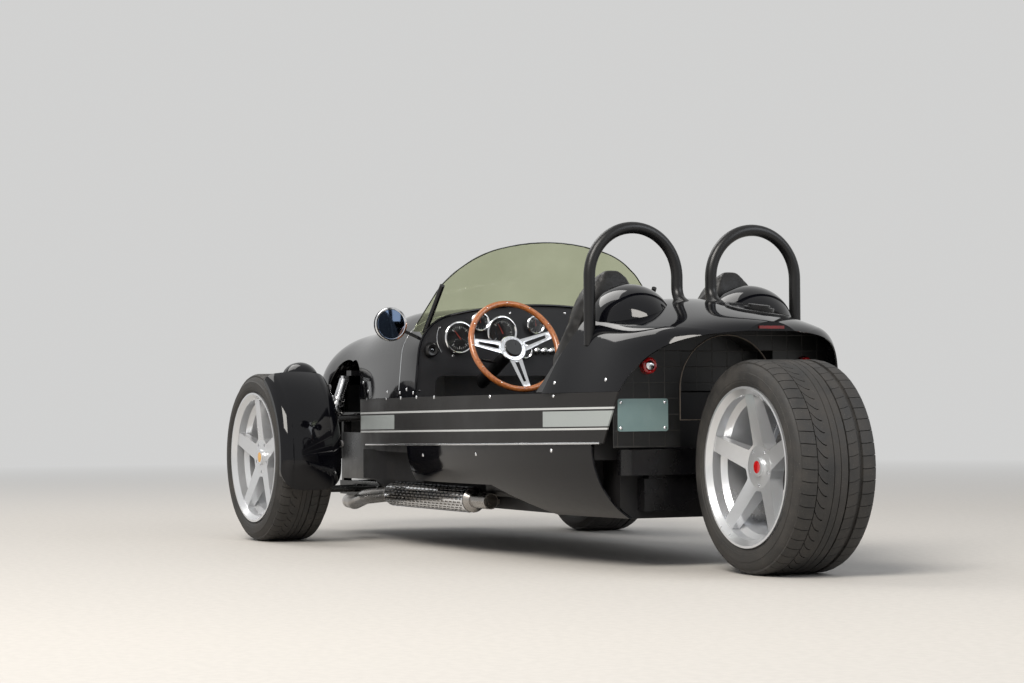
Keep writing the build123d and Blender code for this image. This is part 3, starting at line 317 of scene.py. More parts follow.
finishLook = {
    # colour, roughness and metal; roughness from and to, scale of the smears, scale and strength of the grain
    "blackPaint": ((0.0015, 0.0016, 0.0028), 0.05, 0, (0.03, 0.075, 5, 60, 0.008),
                   dict(tint=(0.003, 0.003, 0.0042), Specular_IOR_Level=0.36)),
    "satinBlack": ((0.004, 0.004, 0.005), 0.26, 0, (0.22, 0.32, 8, 900, 0.03),
                   dict(tint=(0.007, 0.0065, 0.0065), distance=0.0002, Specular_IOR_Level=0.45)),
    "matteBlack": ((0.008, 0.008, 0.009), 0.5, 0, (0.45, 0.62, 10, 700, 0.2),
                   dict(tint=(0.013, 0.012, 0.012), Specular_IOR_Level=0.35)),
    "moulded": ((0.006, 0.006, 0.007), 0.3, 0, (0.22, 0.4, 12, 380, 0.1), dict(tint=(0.010, 0.010, 0.010))),
    "chrome": ((0.80, 0.81, 0.83), 0.06, 1.0, (0.03, 0.1, 20, 90, 0.01), dict()),
    "polishedAlloy": ((0.72, 0.73, 0.75), 0.2, 1.0, (0.14, 0.28, 12, 500, 0.05), dict(stretch=(1, 6, 1))),
    "wheelSilver": ((0.70, 0.71, 0.73), 0.3, 0.7, (0.26, 0.33, 5, 1200, 0.03),
                    dict(tint=(0.64, 0.65, 0.66), distance=0.0002, Coat_Weight=0.5, Coat_Roughness=0.08)),
    "castSteel": ((0.16, 0.16, 0.17), 0.5, 0.8, (0.4, 0.6, 22, 260, 0.35), dict(tint=(0.24, 0.23, 0.22))),
    "discIron": ((0.33, 0.33, 0.34), 0.35, 0.9, (0.28, 0.45, 30, 600, 0.12), dict(tint=(0.26, 0.24, 0.22))),
    "exhaustSteel": ((0.42, 0.41, 0.40), 0.3, 1.0, (0.18, 0.42, 11, 300, 0.06),
                     dict(tint=(0.30, 0.26, 0.22))),
    "plateTeal": ((0.15, 0.225, 0.225), 0.35, 0, (0.28, 0.4, 7, 500, 0.04),
                  dict(tint=(0.19, 0.27, 0.265), Coat_Weight=0.3)),
    "mirrorGlass": ((0.26, 0.37, 0.58), 0.03, 1.0, (0.02, 0.05, 14, 60, 0.004),
                    dict(tint=(0.30, 0.41, 0.62))),
    "lipMetal": ((0.20, 0.17, 0.14), 0.4, 0.6, (0.32, 0.5, 30, 300, 0.1), dict(tint=(0.12, 0.10, 0.085))),
    "screenEdge": ((0.015, 0.018, 0.014), 0.15, 0, (0.1, 0.22, 20, 200, 0.03),
                   dict(tint=(0.022, 0.026, 0.02), Coat_Weight=0.5)),
    "hoopBlack": ((0.006, 0.006, 0.0065), 0.34, 0, (0.31, 0.38, 4, 400, 0.01),
                  dict(tint=(0.008, 0.0075, 0.0075), distance=0.0002, Specular_IOR_Level=0.4)),
    "stripLens": ((0.16, 0.002, 0.003), 0.12, 0, (0.08, 0.16, 22, 140, 0.15),
                  dict(tint=(0.11, 0.002, 0.002), Coat_Weight=0.8)),
    "coreFins": ((0.035, 0.035, 0.037), 0.45, 0.6, (0.4, 0.55, 14, 520, 0.8),
                 dict(tint=(0.05, 0.048, 0.045), distance=0.002, stretch=(1, 0.05, 1.6))),
    "redLens": ((0.42, 0.004, 0.006), 0.08, 0, (0.05, 0.12, 22, 140, 0.15),
                dict(tint=(0.30, 0.003, 0.004), Coat_Weight=1.0)),
    "matteGrey": ((0.013, 0.013, 0.015), 0.42, 0.2, (0.34, 0.5, 6, 900, 0.06),
                  dict(tint=(0.020, 0.0195, 0.0205))),
    "dialBlack": ((0.004, 0.004, 0.005), 0.5, 0, (0.4, 0.6, 60, 800, 0.05), dict()),
    "dialPrint": ((0.75, 0.76, 0.74), 0.6, 0, (0.5, 0.7, 60, 800, 0.02), dict()),
    "needlePaint": ((0.62, 0.05, 0.02), 0.4, 0, (0.3, 0.5, 60, 800, 0.02), dict()),
}
for name, (*look, more) in finishLook.items():
    makeFinish(name, *look, **more)

# wood with long rings and fine grain
wood = material("rimWood", (0.42, 0.13, 0.035), 0.25, Coat_Weight=0.7, Coat_Roughness=0.08)
woodCoords = objectCoords(wood)
woodRings = node(wood, "ShaderNodeTexWave", Scale=55.0, Distortion=9.0, Detail=4.0)
woodRings.inputs["Detail Scale"].default_value = 2.0
link(wood, woodCoords, woodRings.inputs["Vector"])
woodGrain = noise(wood, woodCoords, 160, 5)
woodTone = mixColors(wood, ranged(wood, woodRings.outputs["Fac"], 0, 1), (0.50, 0.17, 0.045),
                     (0.30, 0.085, 0.022))
toShader(wood, mixColors(wood, ranged(wood, woodGrain, 0, 0.5, 0.4, 0.8), woodTone, (0.22, 0.06, 0.016)))
toShader(wood, ranged(wood, woodGrain, 0.18, 0.34), "Roughness")
addBump(wood, woodGrain, 0.08, 0.0003)

# leather with a pebble grain
leather = material("blackLeather", (0.008, 0.0075, 0.0075), 0.42, Specular_IOR_Level=0.4)
hideCoords = objectCoords(leather)
pebbles = node(leather, "ShaderNodeTexVoronoi", Scale=420.0)
link(leather, hideCoords, pebbles.inputs["Vector"])
creases = noise(leather, hideCoords, 36, 8)
toShader(leather, ranged(leather, creases, 0.34, 0.56, 0.3, 0.7), "Roughness")
toShader(leather, mixColors(leather, ranged(leather, creases, 0, 1, 0.35, 0.7), (0.006, 0.0057, 0.0057),
                            (0.013, 0.012, 0.0115)))
pebbleBump = addBump(leather, pebbles.outputs["Distance"], 0.35, 0.0006, onShader=False)
addBump(leather, creases, 0.25, 0.0015, pebbleBump)

# tyre rubber: dusty, brownish on the shoulders
rubber = material("tyreRubber", (0.018, 0.0175, 0.017), 0.7)
rubberCoords = objectCoords(rubber)
dust = noise(rubber, rubberCoords, 13, 8, 0.65)
specks = noise(rubber, rubberCoords, 330, 2)
rubberTone = mixColors(rubber, ranged(rubber, dust, 0, 1, 0.35, 0.75), (0.016, 0.0155, 0.015),
                       (0.050, 0.045, 0.040))
toShader(rubber, mixColors(rubber, ranged(rubber, specks, 0, 0.8, 0.66, 0.76), rubberTone,
                           (0.13, 0.12, 0.105)))
toShader(rubber, ranged(rubber, dust, 0.55, 0.85, 0.3, 0.7), "Roughness")
addBump(rubber, specks, 0.25, 0.0006)

# screen glass, olive tinted, with a faint haze
glass = material("tintedGlass", (0.60, 0.63, 0.44), 0.02, IOR=1.45, Transmission_Weight=1.0)
haze = noise(glass, objectCoords(glass), 7, 6)
toShader(glass, ranged(glass, haze, 0.0, 0.02, 0.45, 0.75), "Roughness")
toShader(glass, mixColors(glass, ranged(glass, haze, 0, 1, 0.3, 0.7), (0.62, 0.65, 0.46), (0.56, 0.59, 0.41)))

clear = material("clearLens", (0.95, 0.96, 0.97), 0.03, IOR=1.45, Transmission_Weight=1.0)
ripple = noise(clear, objectCoords(clear), 60, 2)
toShader(clear, ranged(clear, ripple, 0.01, 0.06), "Roughness")
addBump(clear, ripple, 0.03, 0.0005)

# side panel with its two pinstripes and pale bars
stripe = {
    "dark": (0.014, 0.013, 0.013), "fleck": (0.030, 0.028, 0.026),
    "silver": (0.62, 0.63, 0.62), "bar": (0.40, 0.43, 0.42),
    "ends": (313, 2480), "foot": (0.400, 0.362), "top": (0.560, 0.536),       # the panel, rear end first
    # shares of the panel's height, then stations
    "lineTop": (0.672, 0.712), "lineLow": (0.268, 0.306), "barHeight": (0.335, 0.640),
    "bars": ((332, 700), (1942, 2470)), "lines": (322, 2478),
    "softX": 0.0005, "softShare": 0.004,
}
panel = material("sidePanel", stripe["dark"], 0.42, 0.35)
panelCoords = objectCoords(panel)
splitPlace = node(panel, "ShaderNodeSeparateXYZ")
link(panel, panelCoords, splitPlace.inputs["Vector"])
panelX = splitPlace.outputs["X"]
panelRise = node(panel, "ShaderNodeMapRange")
link(panel, splitPlace.outputs["Z"], panelRise.inputs["Value"])
link(panel, ranged(panel, panelX, *stripe["foot"], *map(at, stripe["ends"])), panelRise.inputs["From Min"])
link(panel, ranged(panel, panelX, *stripe["top"], *map(at, stripe["ends"])), panelRise.inputs["From Max"])
share = panelRise.outputs["Result"]
lineTop, lineLow, barRows = (between(panel, share, *stripe[key], stripe["softShare"])
                             for key in ("lineTop", "lineLow", "barHeight"))
rearBar, frontBar, alongLines = (between(panel, panelX, *map(at, ends), stripe["softX"])
                                 for ends in (*stripe["bars"], stripe["lines"]))
lineMask = together(panel, together(panel, lineTop, lineLow, 'ADD'), alongLines)
barMask = together(panel, together(panel, rearBar, frontBar, 'ADD'), barRows)
flecks = noise(panel, panelCoords, 900, 2)
patch = noise(panel, panelCoords, 6, 5)
panelTone = mixColors(panel, ranged(panel, flecks, 0, 1, 0.5, 0.75), stripe["dark"], stripe["fleck"])
panelTone = mixColors(panel, barMask, panelTone, stripe["bar"])
toShader(panel, mixColors(panel, lineMask, panelTone, stripe["silver"]))
toShader(panel, ranged(panel, patch, 0.33, 0.5, 0.3, 0.7), "Roughness")
addBump(panel, flecks, 0.05, 0.0002)

# well panel: black with a thin raised grid
gridded = material("griddedPanel", (0.004, 0.004, 0.004), 0.3)
gridCoords = objectCoords(gridded)
gridPlace = node(gridded, "ShaderNodeSeparateXYZ")
link(gridded, gridCoords, gridPlace.inputs["Vector"])
gridSteps = []
for along, pitch, shift in (("Y", 0.056, 0.0), ("Z", 0.050, 0.012)):
    moved = node(gridded, "ShaderNodeMath", operation='ADD')
    moved.inputs[1].default_value = shift
    link(gridded, gridPlace.outputs[along], moved.inputs[0])
    wave = node(gridded, "ShaderNodeMath", operation='PINGPONG')
    wave.inputs[1].default_value = pitch / 2
    link(gridded, moved.outputs[0], wave.inputs[0])
    gridSteps.append(ranged(gridded, wave.outputs[0], 1, 0, 0.0004, 0.0014))
gridLines = together(gridded, *gridSteps, 'MAXIMUM')
gridDust = noise(gridded, gridCoords, 9, 6)
gridSeen = together(gridded, gridLines, ranged(gridded, gridDust, 0.1, 0.8, 0.4, 0.65))
toShader(gridded, mixColors(gridded, gridSeen, (0.004, 0.004, 0.004), (0.055, 0.048, 0.040)))
toShader(gridded, ranged(gridded, gridDust, 0.25, 0.45), "Roughness")
addBump(gridded, gridLines, 0.5, 0.001)
print("materials ready")

# which finish each CAD piece takes
nodeFinish = {
    "blackPaint": "skirt_left skirt_right nose cowl rear_deck head_fairings mirrors headlamps "
                  "front_fender_left front_fender_right",
    "satinBlack": "grille screen_posts front_frame wishbones rear_bar swing_arm fuel_cap",
    "castSteel": "engine knuckle_left knuckle_right",
    "wheelSilver": "front_rim_left front_rim_right rear_rim",
    "discIron": "front_disc_left front_disc_right rear_disc",
    "polishedAlloy": "coil_springs steering_wheel",
    "tyreRubber": "front_tyre_left front_tyre_right rear_tyre",
    "sidePanel": "side_panel_left side_panel_right", "blackLeather": "seat_left seat_right",
    "matteBlack": "tub", "matteGrey": "dashboard", "chrome": "gauges", "griddedPanel": "wheel_well",
    "plateTeal": "plate", "stripLens": "tail_lights", "hoopBlack": "roll_hoops", "tintedGlass": "windscreen",
    "moulded": "steering_column", "exhaustSteel": "exhausts",
}
for finish, names in nodeFinish.items():
    for name in names.split():
        piece = nodes[name]
        for place in piece.material_slots:
            place.material = finishes[finish]
        if not piece.material_slots:
            piece.data.materials.append(finishes[finish])
print("CAD pieces painted")

# tyres: a spun carcass with tread blocks set round it
tyreLook = {
    "rear": {"radius": 0.328, "width": 0.285, "center": (at(0), 0, 0.328), "body": "rear_wheel"},
    "front_left": {"radius": 0.3185, "width": 0.225, "center": (at(frontAxle), 0.684, 0.3185),
                   "body": "left_wheel"},
    "front_right": {"radius": 0.3185, "width": 0.225, "center": (at(frontAxle), -0.684, 0.3185),
                    "body": "right_wheel"},
}
pitches = 54
beadRadius = 0.2305
treadDepth = 0.0065
ribs = (0.30, 0.155, 0.135, -0.005, -0.025, -0.18)      # edges of the plain ribs, share of the half width


def wrapped(piece, radius):       # flat x (round), y (across), z (outward) to a ring about Y
    for v in piece.data.vertices:
        turn = v.co.x / radius
        out = radius + v.co.z
        v.co = Vector((out * math.sin(turn), v.co.y, out * math.cos(turn)))
    piece.data.update()


def treadBlock(length, across, slant, curve, radius, crown, place):
    high = treadDepth + 0.004
    block = bar((length, across, high))
    enterEdit(block)
    for cut in (0, across / 4, -across / 4):
        bpy.ops.mesh.select_all(action='SELECT')
        bpy.ops.mesh.bisect(plane_co=(0, cut, 0), plane_no=(0, 1, 0))
    leaveEdit()
    for v in block.data.vertices:
        v.co.z -= high / 2
        share = v.co.y / across
        v.co.x += slant * share + curve * (share * 2) ** 2
        v.co.y += place
        v.co.z -= crown * max(0, share * 2 * math.copysign(1, place)) ** 2
    wrapped(block, radius)
    return block


def makeTyre(key):
    look = tyreLook[key]
    radius, half = look["radius"], look["width"] / 2
    lip = half - 0.005
    deep = radius - treadDepth
    side = [
        (beadRadius, lip - 0.0146), (0.247, lip - 0.008), (0.2525, lip - 0.0035), (0.256, lip - 0.001),
        (0.258, half - 0.0035), (0.261, half - 0.0022), (0.264, half - 0.0022), (0.2655, half - 0.0008),
        (0.273, half), (0.284, half - 0.0010), (0.2875, half - 0.0012), (0.2885, half - 0.0030),
        (radius - 0.026, half - 0.0060), (radius - 0.0185, half - 0.0110), (radius - 0.0125, half - 0.0170),
    ]
    top = [(radius - 0.0085, half - 0.0235), (deep - 0.002, half - 0.036)]
    outline = side + top
    high = radius - 0.0004
    for outer, inner in zip(ribs[::2], ribs[1::2]):
        outer, inner = half * outer, half * inner
        outline += [(deep, outer + 0.0015), (high, outer), (high, inner), (deep, inner - 0.0015)]
    outline += [(r, -y) for r, y in reversed(top)]
    outline += [(r, -y) for r, y in reversed(side)]
    outline += [(beadRadius + 0.02, -lip + 0.03), (radius - 0.014, -half + 0.045),
                (radius - 0.014, half - 0.045), (beadRadius + 0.02, lip - 0.03), outline[0]]
    pitch = math.tau / pitches
    parts = [spun(outline, 128)]
    shoulder = half * 0.33
    shoulderY = half - 0.016 - shoulder / 2
    middle = half * 0.27
    rows = [
        # across, where, slant, curve, pitch share of the block, fall of the outer edge
        (shoulder, shoulderY, 0.005, 0.0015, 0.93, 0.0075),
        (middle, half * 0.40, 0.030, 0.010, 0.90, 0.0006),
        (middle * 0.9, -half * 0.34, -0.010, 0.002, 0.955, 0.0004),
        (shoulder, -shoulderY, -0.005, 0.0015, 0.94, 0.0065),
    ]
    flip = -1 if key == "front_right" else 1
    for across, where, slant, curve, fill, crown in rows:
        block = treadBlock(pitch * radius * fill, across, slant * flip, curve, radius - 0.0003, crown, where)
        parts += [copyOf(block, Matrix.Rotation(k * pitch, 4, 'Y')) for k in range(pitches)]
        bpy.data.objects.remove(block)
    tyre = joined(parts)
    tyre.data.transform(Matrix.Translation(look["center"]))
    done(tyre, "tyre_" + key, "tyreRubber", look["body"], 30)
    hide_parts({"rear": "rear_tyre"}.get(key, key.replace("front_", "front_tyre_")))


for key in tyreLook:
    makeTyre(key)
print("tyres")

# wheel caps and lug nuts
wheelTrim = {
    "rear": {"side": 1, "face": 0.0855, "cap": (0.50, 0.004, 0.006)},
    "front_left": {"side": 1, "face": 0.0725, "cap": (0.75, 0.36, 0.005)},
    "front_right": {"side": -1, "face": 0.0725, "cap": (0.75, 0.36, 0.005)},
    "capRadius": 0.0285, "capHeight": 0.009, "lugRadius": 0.0115, "lugCircle": 0.056,
}
capPaints = {}
for key, tyre in tyreLook.items():
    look = wheelTrim[key]
    face = look["face"]
    if look["cap"] not in capPaints:
        capPaints[look["cap"]] = "cap_" + key
        makeFinish("cap_" + key, look["cap"], 0.2, 0, (0.14, 0.26, 30, 200, 0.04),
                   tint=tuple(c * 0.85 for c in look["cap"]), Coat_Weight=0.8)
    r, h = wheelTrim["capRadius"], wheelTrim["capHeight"]
    cap = spun([(0, face + h), (r * 0.6, face + h - 0.0006), (r * 0.9, face + h - 0.0022),
                (r, face + h - 0.0045), (r, face + 0.0002), (0, face + 0.0002)], 40)
    nuts = []
    for k in range(5):
        angle = math.radians(90 + 36 + 72 * k)
        deselect()
        bpy.ops.mesh.primitive_cylinder_add(vertices=6, radius=wheelTrim["lugRadius"] * 0.62, depth=0.012,
                                            rotation=(math.pi / 2, 0, 0))
        nut = current()
        settle(nut)
        addModifier(nut, 'BEVEL', width=0.0012, segments=2)
        x, z = onCircle(wheelTrim["lugCircle"], angle)
        nut.data.transform(Matrix.Translation((x, face - 0.013, z)))
        nuts.append(nut)
    for piece, name, finish in ((cap, "cap_", capPaints[look["cap"]]),
                                (joined(nuts), "lugs_", "polishedAlloy")):
        if look["side"] < 0:
            piece.data.transform(mirrorY)
            piece.data.flip_normals()
        piece.data.transform(Matrix.Translation(tyre["center"]))
        done(piece, name + key, finish, tyre["body"])
print("wheel trim")

# steering wheel: dished, three slotted spokes, wooden rim
handWheel = {
    "hub": (at(1440), 0.222, 0.722), "lean": 24, "rim": 0.166, "grip": 0.0105,
    "spokes": (17, 174, 276), "dish": 0.022, "rivets": 12,
    "slot": (0.062, 0.142), "hubRadius": 0.035,
}
lean = math.radians(handWheel["lean"])
wheelNormal = Vector((-math.cos(lean), 0, math.sin(lean)))
wheelAcross = Vector((0, -1, 0))
wheelUp = wheelNormal.cross(wheelAcross)
wheelTurn = Matrix((wheelAcross, wheelUp, wheelNormal)).transposed().to_4x4()
wheelFrame = Matrix.Translation(handWheel["hub"]) @ wheelTurn
dished = Matrix.Translation((0, 0, -handWheel["dish"]))
deselect()
bpy.ops.mesh.primitive_torus_add(major_radius=handWheel["rim"], minor_radius=handWheel["grip"],
                                 major_segments=128, minor_segments=20)
rimPiece = current()
for v in rimPiece.data.vertices:                         # finger grips on the far side
    if v.co.z < 0:
        v.co.z *= 1 + 0.10 * math.cos(math.atan2(v.co.y, v.co.x) * 36)
rimPiece.data.transform(wheelFrame)
done(rimPiece, "wheelRim", "rimWood", "hand_wheel", 60)
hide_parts("steering_wheel")


def inSlot(center, normal):       # faces of a spoke's tapered slot
    start, end = handWheel["slot"]
    half = 0.010 - (center.x - start) * 0.03
    return abs(normal.z) > 0.9 and start < center.x < end and abs(center.y) < half


spokeParts = []
for angle in handWheel["spokes"]:
    spoke = bar((0.122, 0.05, 0.004))
    for v in spoke.data.vertices:
        v.co.x += 0.094
        v.co.y *= 1.0 if v.co.x < 0.1 else 0.56
    enterEdit(spoke)
    bpy.ops.mesh.subdivide(number_cuts=5)
    leaveEdit()
    pickFaces(spoke, inSlot)
    bpy.ops.mesh.delete(type='FACE')
    bpy.ops.mesh.select_mode(type='EDGE')
    bpy.ops.mesh.select_all(action='DESELECT')
    bpy.ops.mesh.select_non_manifold(extend=False, use_wire=False, use_multi_face=False,
                                     use_non_contiguous=False, use_verts=False)
    bpy.ops.mesh.bridge_edge_loops()
    leaveEdit()
    addModifier(spoke, 'BEVEL', width=0.0012, segments=2, limit_method='ANGLE', angle_limit=math.radians(40))
    for v in spoke.data.vertices:                        # dish: the hub lies behind the rim
        away = (v.co.x - handWheel["hubRadius"]) / (handWheel["rim"] - handWheel["hubRadius"])
        v.co.z -= handWheel["dish"] * (1 - min(1, max(0, away)))
    spoke.data.transform(Matrix.Rotation(math.radians(angle), 4, 'Z'))
    spokeParts.append(spoke)
spokeParts.append(turned([(0.0, -0.004), (0.047, -0.004), (0.049, -0.002), (0.049, 0.003),
                          (0.0465, 0.0055), (0.034, 0.0060), (0.033, 0.0085), (0.0300, 0.0105),
                          (0.026, 0.0105), (0.025, 0.0090), (0.0, 0.0090)], 64, dished))
for k in range(6):
    turn = k * math.pi / 3 + 0.3
    spokeParts.append(ball((*onCircle(0.0405, turn), 0.0055 - handWheel["dish"]), 0.0032, 12))
spokes = joined(spokeParts)
spokes.data.transform(wheelFrame)
done(spokes, "wheelSpokes", "polishedAlloy", "hand_wheel", 30)
boss = turned([(0.0, 0.0145), (0.016, 0.0138), (0.0225, 0.0115), (0.0235, 0.0085), (0, 0.0085)], 40,
              wheelFrame @ dished)
done(boss, "wheelBoss", "moulded", "hand_wheel")
hubBack = turned([(0.0, -0.006), (0.030, -0.006), (0.034, -0.016), (0.028, -0.038), (0.0, -0.040)], 40,
                 wheelFrame)
done(hubBack, "wheelHubBack", "moulded", "hand_wheel")
rivets = []
for k in range(handWheel["rivets"]):
    turn = math.tau * k / handWheel["rivets"]
    rivets.append(ball((*onCircle(handWheel["rim"], turn), handWheel["grip"] - 0.0010), 0.0026))
rivetPiece = joined(rivets)
rivetPiece.data.transform(wheelFrame)
done(rivetPiece, "wheelRivets", "chrome", "hand_wheel")
print("steering wheel")

# instruments; each place is y, z and radius
dials = {
    "face": at(dashFace) - 0.0163,
    "places": ((0.318, 0.757, 0.057), (0.150, 0.778, 0.057), (0.236, 0.814, 0.034), (0.014, 0.804, 0.034),
               (0.058, 0.706, 0.026)),
}
faceParts, printParts, needleParts, bezelParts, coverParts = [], [], [], [], []
for index, (y, z, r) in enumerate(dials["places"]):
    into = Matrix.Translation((dials["face"], y, z)) @ Matrix.Rotation(-math.pi / 2, 4, 'Y')
    into = into @ Matrix.Rotation(math.pi, 4, 'Z')
    deselect()
    bpy.ops.mesh.primitive_circle_add(vertices=48, radius=r - 0.0065, fill_type='NGON')
    plate = current()
    enterEdit(plate)
    bpy.ops.mesh.extrude_region_move(TRANSFORM_OT_translate={"value": (0, 0, 0.0012)})
    leaveEdit()
    plate.data.transform(into @ Matrix.Translation((0, 0, -0.0055)))
    faceParts.append(plate)
    ticks, step = (25, 4) if r > 0.05 else (11, 5)
    for k in range(ticks):
        turn = math.radians(225 - 270 * k / (ticks - 1))
        long, wide, back = (0.17, 0.035, 0.085) if k % step == 0 else (0.09, 0.018, 0.045)
        tick = bar((r * long, r * wide, 0.0004))
        tick.data.transform(into @ Matrix.Rotation(turn, 4, 'Z')
                            @ Matrix.Translation((r * 0.72 - r * back, 0, -0.0040)))
        printParts.append(tick)
    needle = bar((r * 0.72, r * 0.045, 0.0009))
    for v in needle.data.vertices:
        v.co.x += r * 0.24
        if v.co.x > r * 0.3:
            v.co.y *= 0.3
    needle.data.transform(into @ Matrix.Rotation(math.radians(218 - 11 * index), 4, 'Z')
                          @ Matrix.Translation((0, 0, -0.0028)))
    needleParts.append(needle)
    bezelParts.append(turned([(r - 0.0065, -0.004), (r - 0.0060, 0.0005), (r - 0.0030, 0.0030),
                              (r - 0.0004, 0.0026), (r + 0.0020, 0.0004), (r + 0.0022, -0.0012),
                              (r - 0.0002, -0.0012), (r - 0.0002, -0.004), (r - 0.0065, -0.004)], 56, into))
    coverParts.append(turned([(0, 0.0014), (r * 0.5, 0.0010), (r - 0.0062, -0.0004), (r - 0.0062, -0.0014),
                              (0, -0.0014)], 48, into))
done(joined(faceParts), "dialFaces", "dialBlack")
done(joined(printParts), "dialMarks", "dialPrint")
done(joined(needleParts), "dialNeedles", "needlePaint")
done(joined(bezelParts), "dialBezels", "chrome")
done(joined(coverParts), "dialLenses", "clearLens")

# toggle row, a round port and small screws on the dashboard
toggles = {
    "z": 0.709, "ys": (-0.057, -0.027, 0.003), "port": (0.426, 0.713), "size": 1.4,
    "screws": ((0.389, 0.794), (0.338, 0.692), (0.111, 0.848), (0.471, 0.566), (0.407, 0.565)),
    "podEdge": {"center": (0.318, 0.757), "radius": 0.084, "from": -38, "to": 24, "thick": 0.0016},
}
dashX = at(dashFace)
levers = []
leverShape = ((0, 0), (0.009, 0), (0.009, 0.004), (0.0064, 0.006), (0.0064, 0.009), (0.0035, 0.0105),
              (0.0028, 0.013), (0.0042, 0.023), (0.0036, 0.0250), (0, 0.0260))
leverShape = [(r * toggles["size"], h * toggles["size"]) for r, h in leverShape]
for y in toggles["ys"]:
    levers.append(turned(leverShape, 24, facing((-1, 0, 0), (dashX, y, toggles["z"]))))
for y, z in toggles["screws"]:
    for side in (1, -1):
        hit, where, normal = surface("dashboard", (dashX - 0.3, y * side, z), (1, 0, 0))
        if hit and where.x < dashX + 0.003:
            levers.append(turned([(0, 0.0026), (0.003, 0.0022), (0.0050, 0), (0.0050, -0.0008), (0, -0.0008)],
                                 16, facing((-1, 0, 0), where)))
pod = toggles["podEdge"]
podLine = []
for k in range(13):
    turn = math.radians(pod["from"] + (pod["to"] - pod["from"]) * k / 12)
    y, z = onCircle(pod["radius"], turn)
    podLine.append(Vector((dashX - 0.0006, pod["center"][0] + y, pod["center"][1] + z)))
levers.append(tubeAlong(podLine, pod["thick"]))
done(joined(levers), "dashToggles", "chrome")
intoPort = facing((-1, 0, 0), (dashX, *toggles["port"]))
port = turned([(0, 0.010), (0.010, 0.010), (0.011, 0.018), (0.019, 0.020), (0.026, 0.012), (0.028, 0.0),
               (0, 0)], 36, intoPort)
done(port, "dashPort", "moulded")
portCore = turned([(0, 0.0145), (0.006, 0.0145), (0.009, 0.0115), (0.0095, 0.0102), (0, 0.0102)], 24,
                  intoPort)
done(portCore, "dashPortCore", "chrome")
print("instruments")

# seats: cushion, back with its rounded head, and lower shell, padded leather
seatLook = {
    # four corners of the side view (station, height): rear low, front low, front high, rear high
    # halves: at the foot and at the top; dome: share of the height where the round top starts
    "cushion": {"side": ((1010, 205), (1345, 215), (1352, 320), (1015, 296)), "halves": (0.170, 0.160),
                "dome": 2, "seams": (-0.055, 0.055), "voxel": 0.010, "cap": 0.012, "cuts": 11, "piping": 0},
    "back": {"side": ((806, 330), (905, 395), (738, 962), (664, 964)), "halves": (0.168, 0.162),
             "dome": 0.50, "seams": (-0.060, 0.060), "voxel": 0.008, "cap": 0.011, "cuts": 31,
             "piping": 0.84},
    "shell": {"side": ((812, 210), (1000, 210), (985, 290), (780, 345)), "halves": (0.182, 0.182),
              "dome": 2, "seams": (), "voxel": 0.012, "cap": 0.004, "cuts": 9, "piping": 0},
    "center": 0.222, "gravity": 0.0, "pressure": 3.0, "frames": 14,
    "seamWidth": 0.014, "seamDepth": 0.006, "pipingDepth": 0.0045,
}


def halfAt(look, share):           # half the pad's width at a share of its height
    foot, top = look["halves"]
    half = foot + (top - foot) * share
    if share > look["dome"]:
        half *= 1 - 0.55 * (share - look["dome"]) / (1 - look["dome"])
        half *= math.sqrt(1 - (max(0, share - 0.8) / 0.206) ** 2)
    return half


def swell(pad, cap):               # a short cloth run, with each point's move capped
    before = [v.co.copy() for v in pad.data.vertices]
    cloth = pad.modifiers.new("Cloth", 'CLOTH')
    cloth.settings.effector_weights.gravity = seatLook["gravity"]
    cloth.settings.use_pressure = True
    cloth.settings.uniform_pressure_force = seatLook["pressure"]
    cloth.settings.quality = 4
    cloth.collision_settings.use_collision = False
    for f in range(1, seatLook["frames"] + 1):
        bpy.context.scene.frame_set(f)
    pick(pad)
    bpy.ops.object.modifier_apply(modifier="Cloth")
    bpy.context.scene.frame_set(1)
    for v, old in zip(pad.data.vertices, before):
        move = v.co - old
        if move.length > cap:
            v.co = old + move.normalized() * cap


def makePad(name, look):
    pad = bar((1, 1, 1))
    enterEdit(pad)
    bpy.ops.mesh.subdivide(number_cuts=look["cuts"])
    leaveEdit()
    a, b, c, d = [Vector((at(s), z / 1000)) for s, z in look["side"]]
    for v in pad.data.vertices:
        u, w, t = v.co.x + 0.5, v.co.z + 0.5, v.co.y * 2
        if look["dome"] < 1:
            w = 1 - (1 - w) ** 1.35                               # closer rows near the top
            u = 0.5 + (u - 0.5) * math.sqrt(1 - (max(0, w - 0.78) / 0.225) ** 2)
        low, high = a.lerp(b, u), d.lerp(c, u)
        point = low.lerp(high, w)
        v.co = Vector((point.x, seatLook["center"] + t * halfAt(look, w), point.y))
    pad.data.remesh_voxel_size = look["voxel"]
    pick(pad)
    bpy.ops.object.voxel_remesh()
    swell(pad, look["cap"])
    addModifier(pad, 'SMOOTH', factor=0.5, iterations=4)
    front = Vector((b.x - a.x + c.x - d.x, b.y - a.y + c.y - d.y)) if name != "cushion" else Vector((0, 1))
    for v in pad.data.vertices:                               # sewn channels and a welt round the edge
        for seam in look["seams"]:
            away = abs(v.co.y - seatLook["center"] - seam) / seatLook["seamWidth"]
            if away < 1 and (v.normal.x * front.x + v.normal.z * front.y) > 0.3 * front.length:
                v.co -= v.normal * seatLook["seamDepth"] * (1 - away) ** 2
        if look["piping"]:                                    # a sewn line that follows the dome
            level = (v.co.z - a.y) / (d.y - a.y)
            spread = abs(v.co.y - seatLook["center"]) / halfAt(look, min(1, max(0, level)))
            away = abs(spread - look["piping"]) / 0.07
            if away < 1 and abs(v.normal.y) < 0.8:
                v.co -= v.normal * seatLook["pipingDepth"] * (1 - away) ** 2
    addModifier(pad, 'SUBSURF', levels=1, render_levels=1)
    return pad


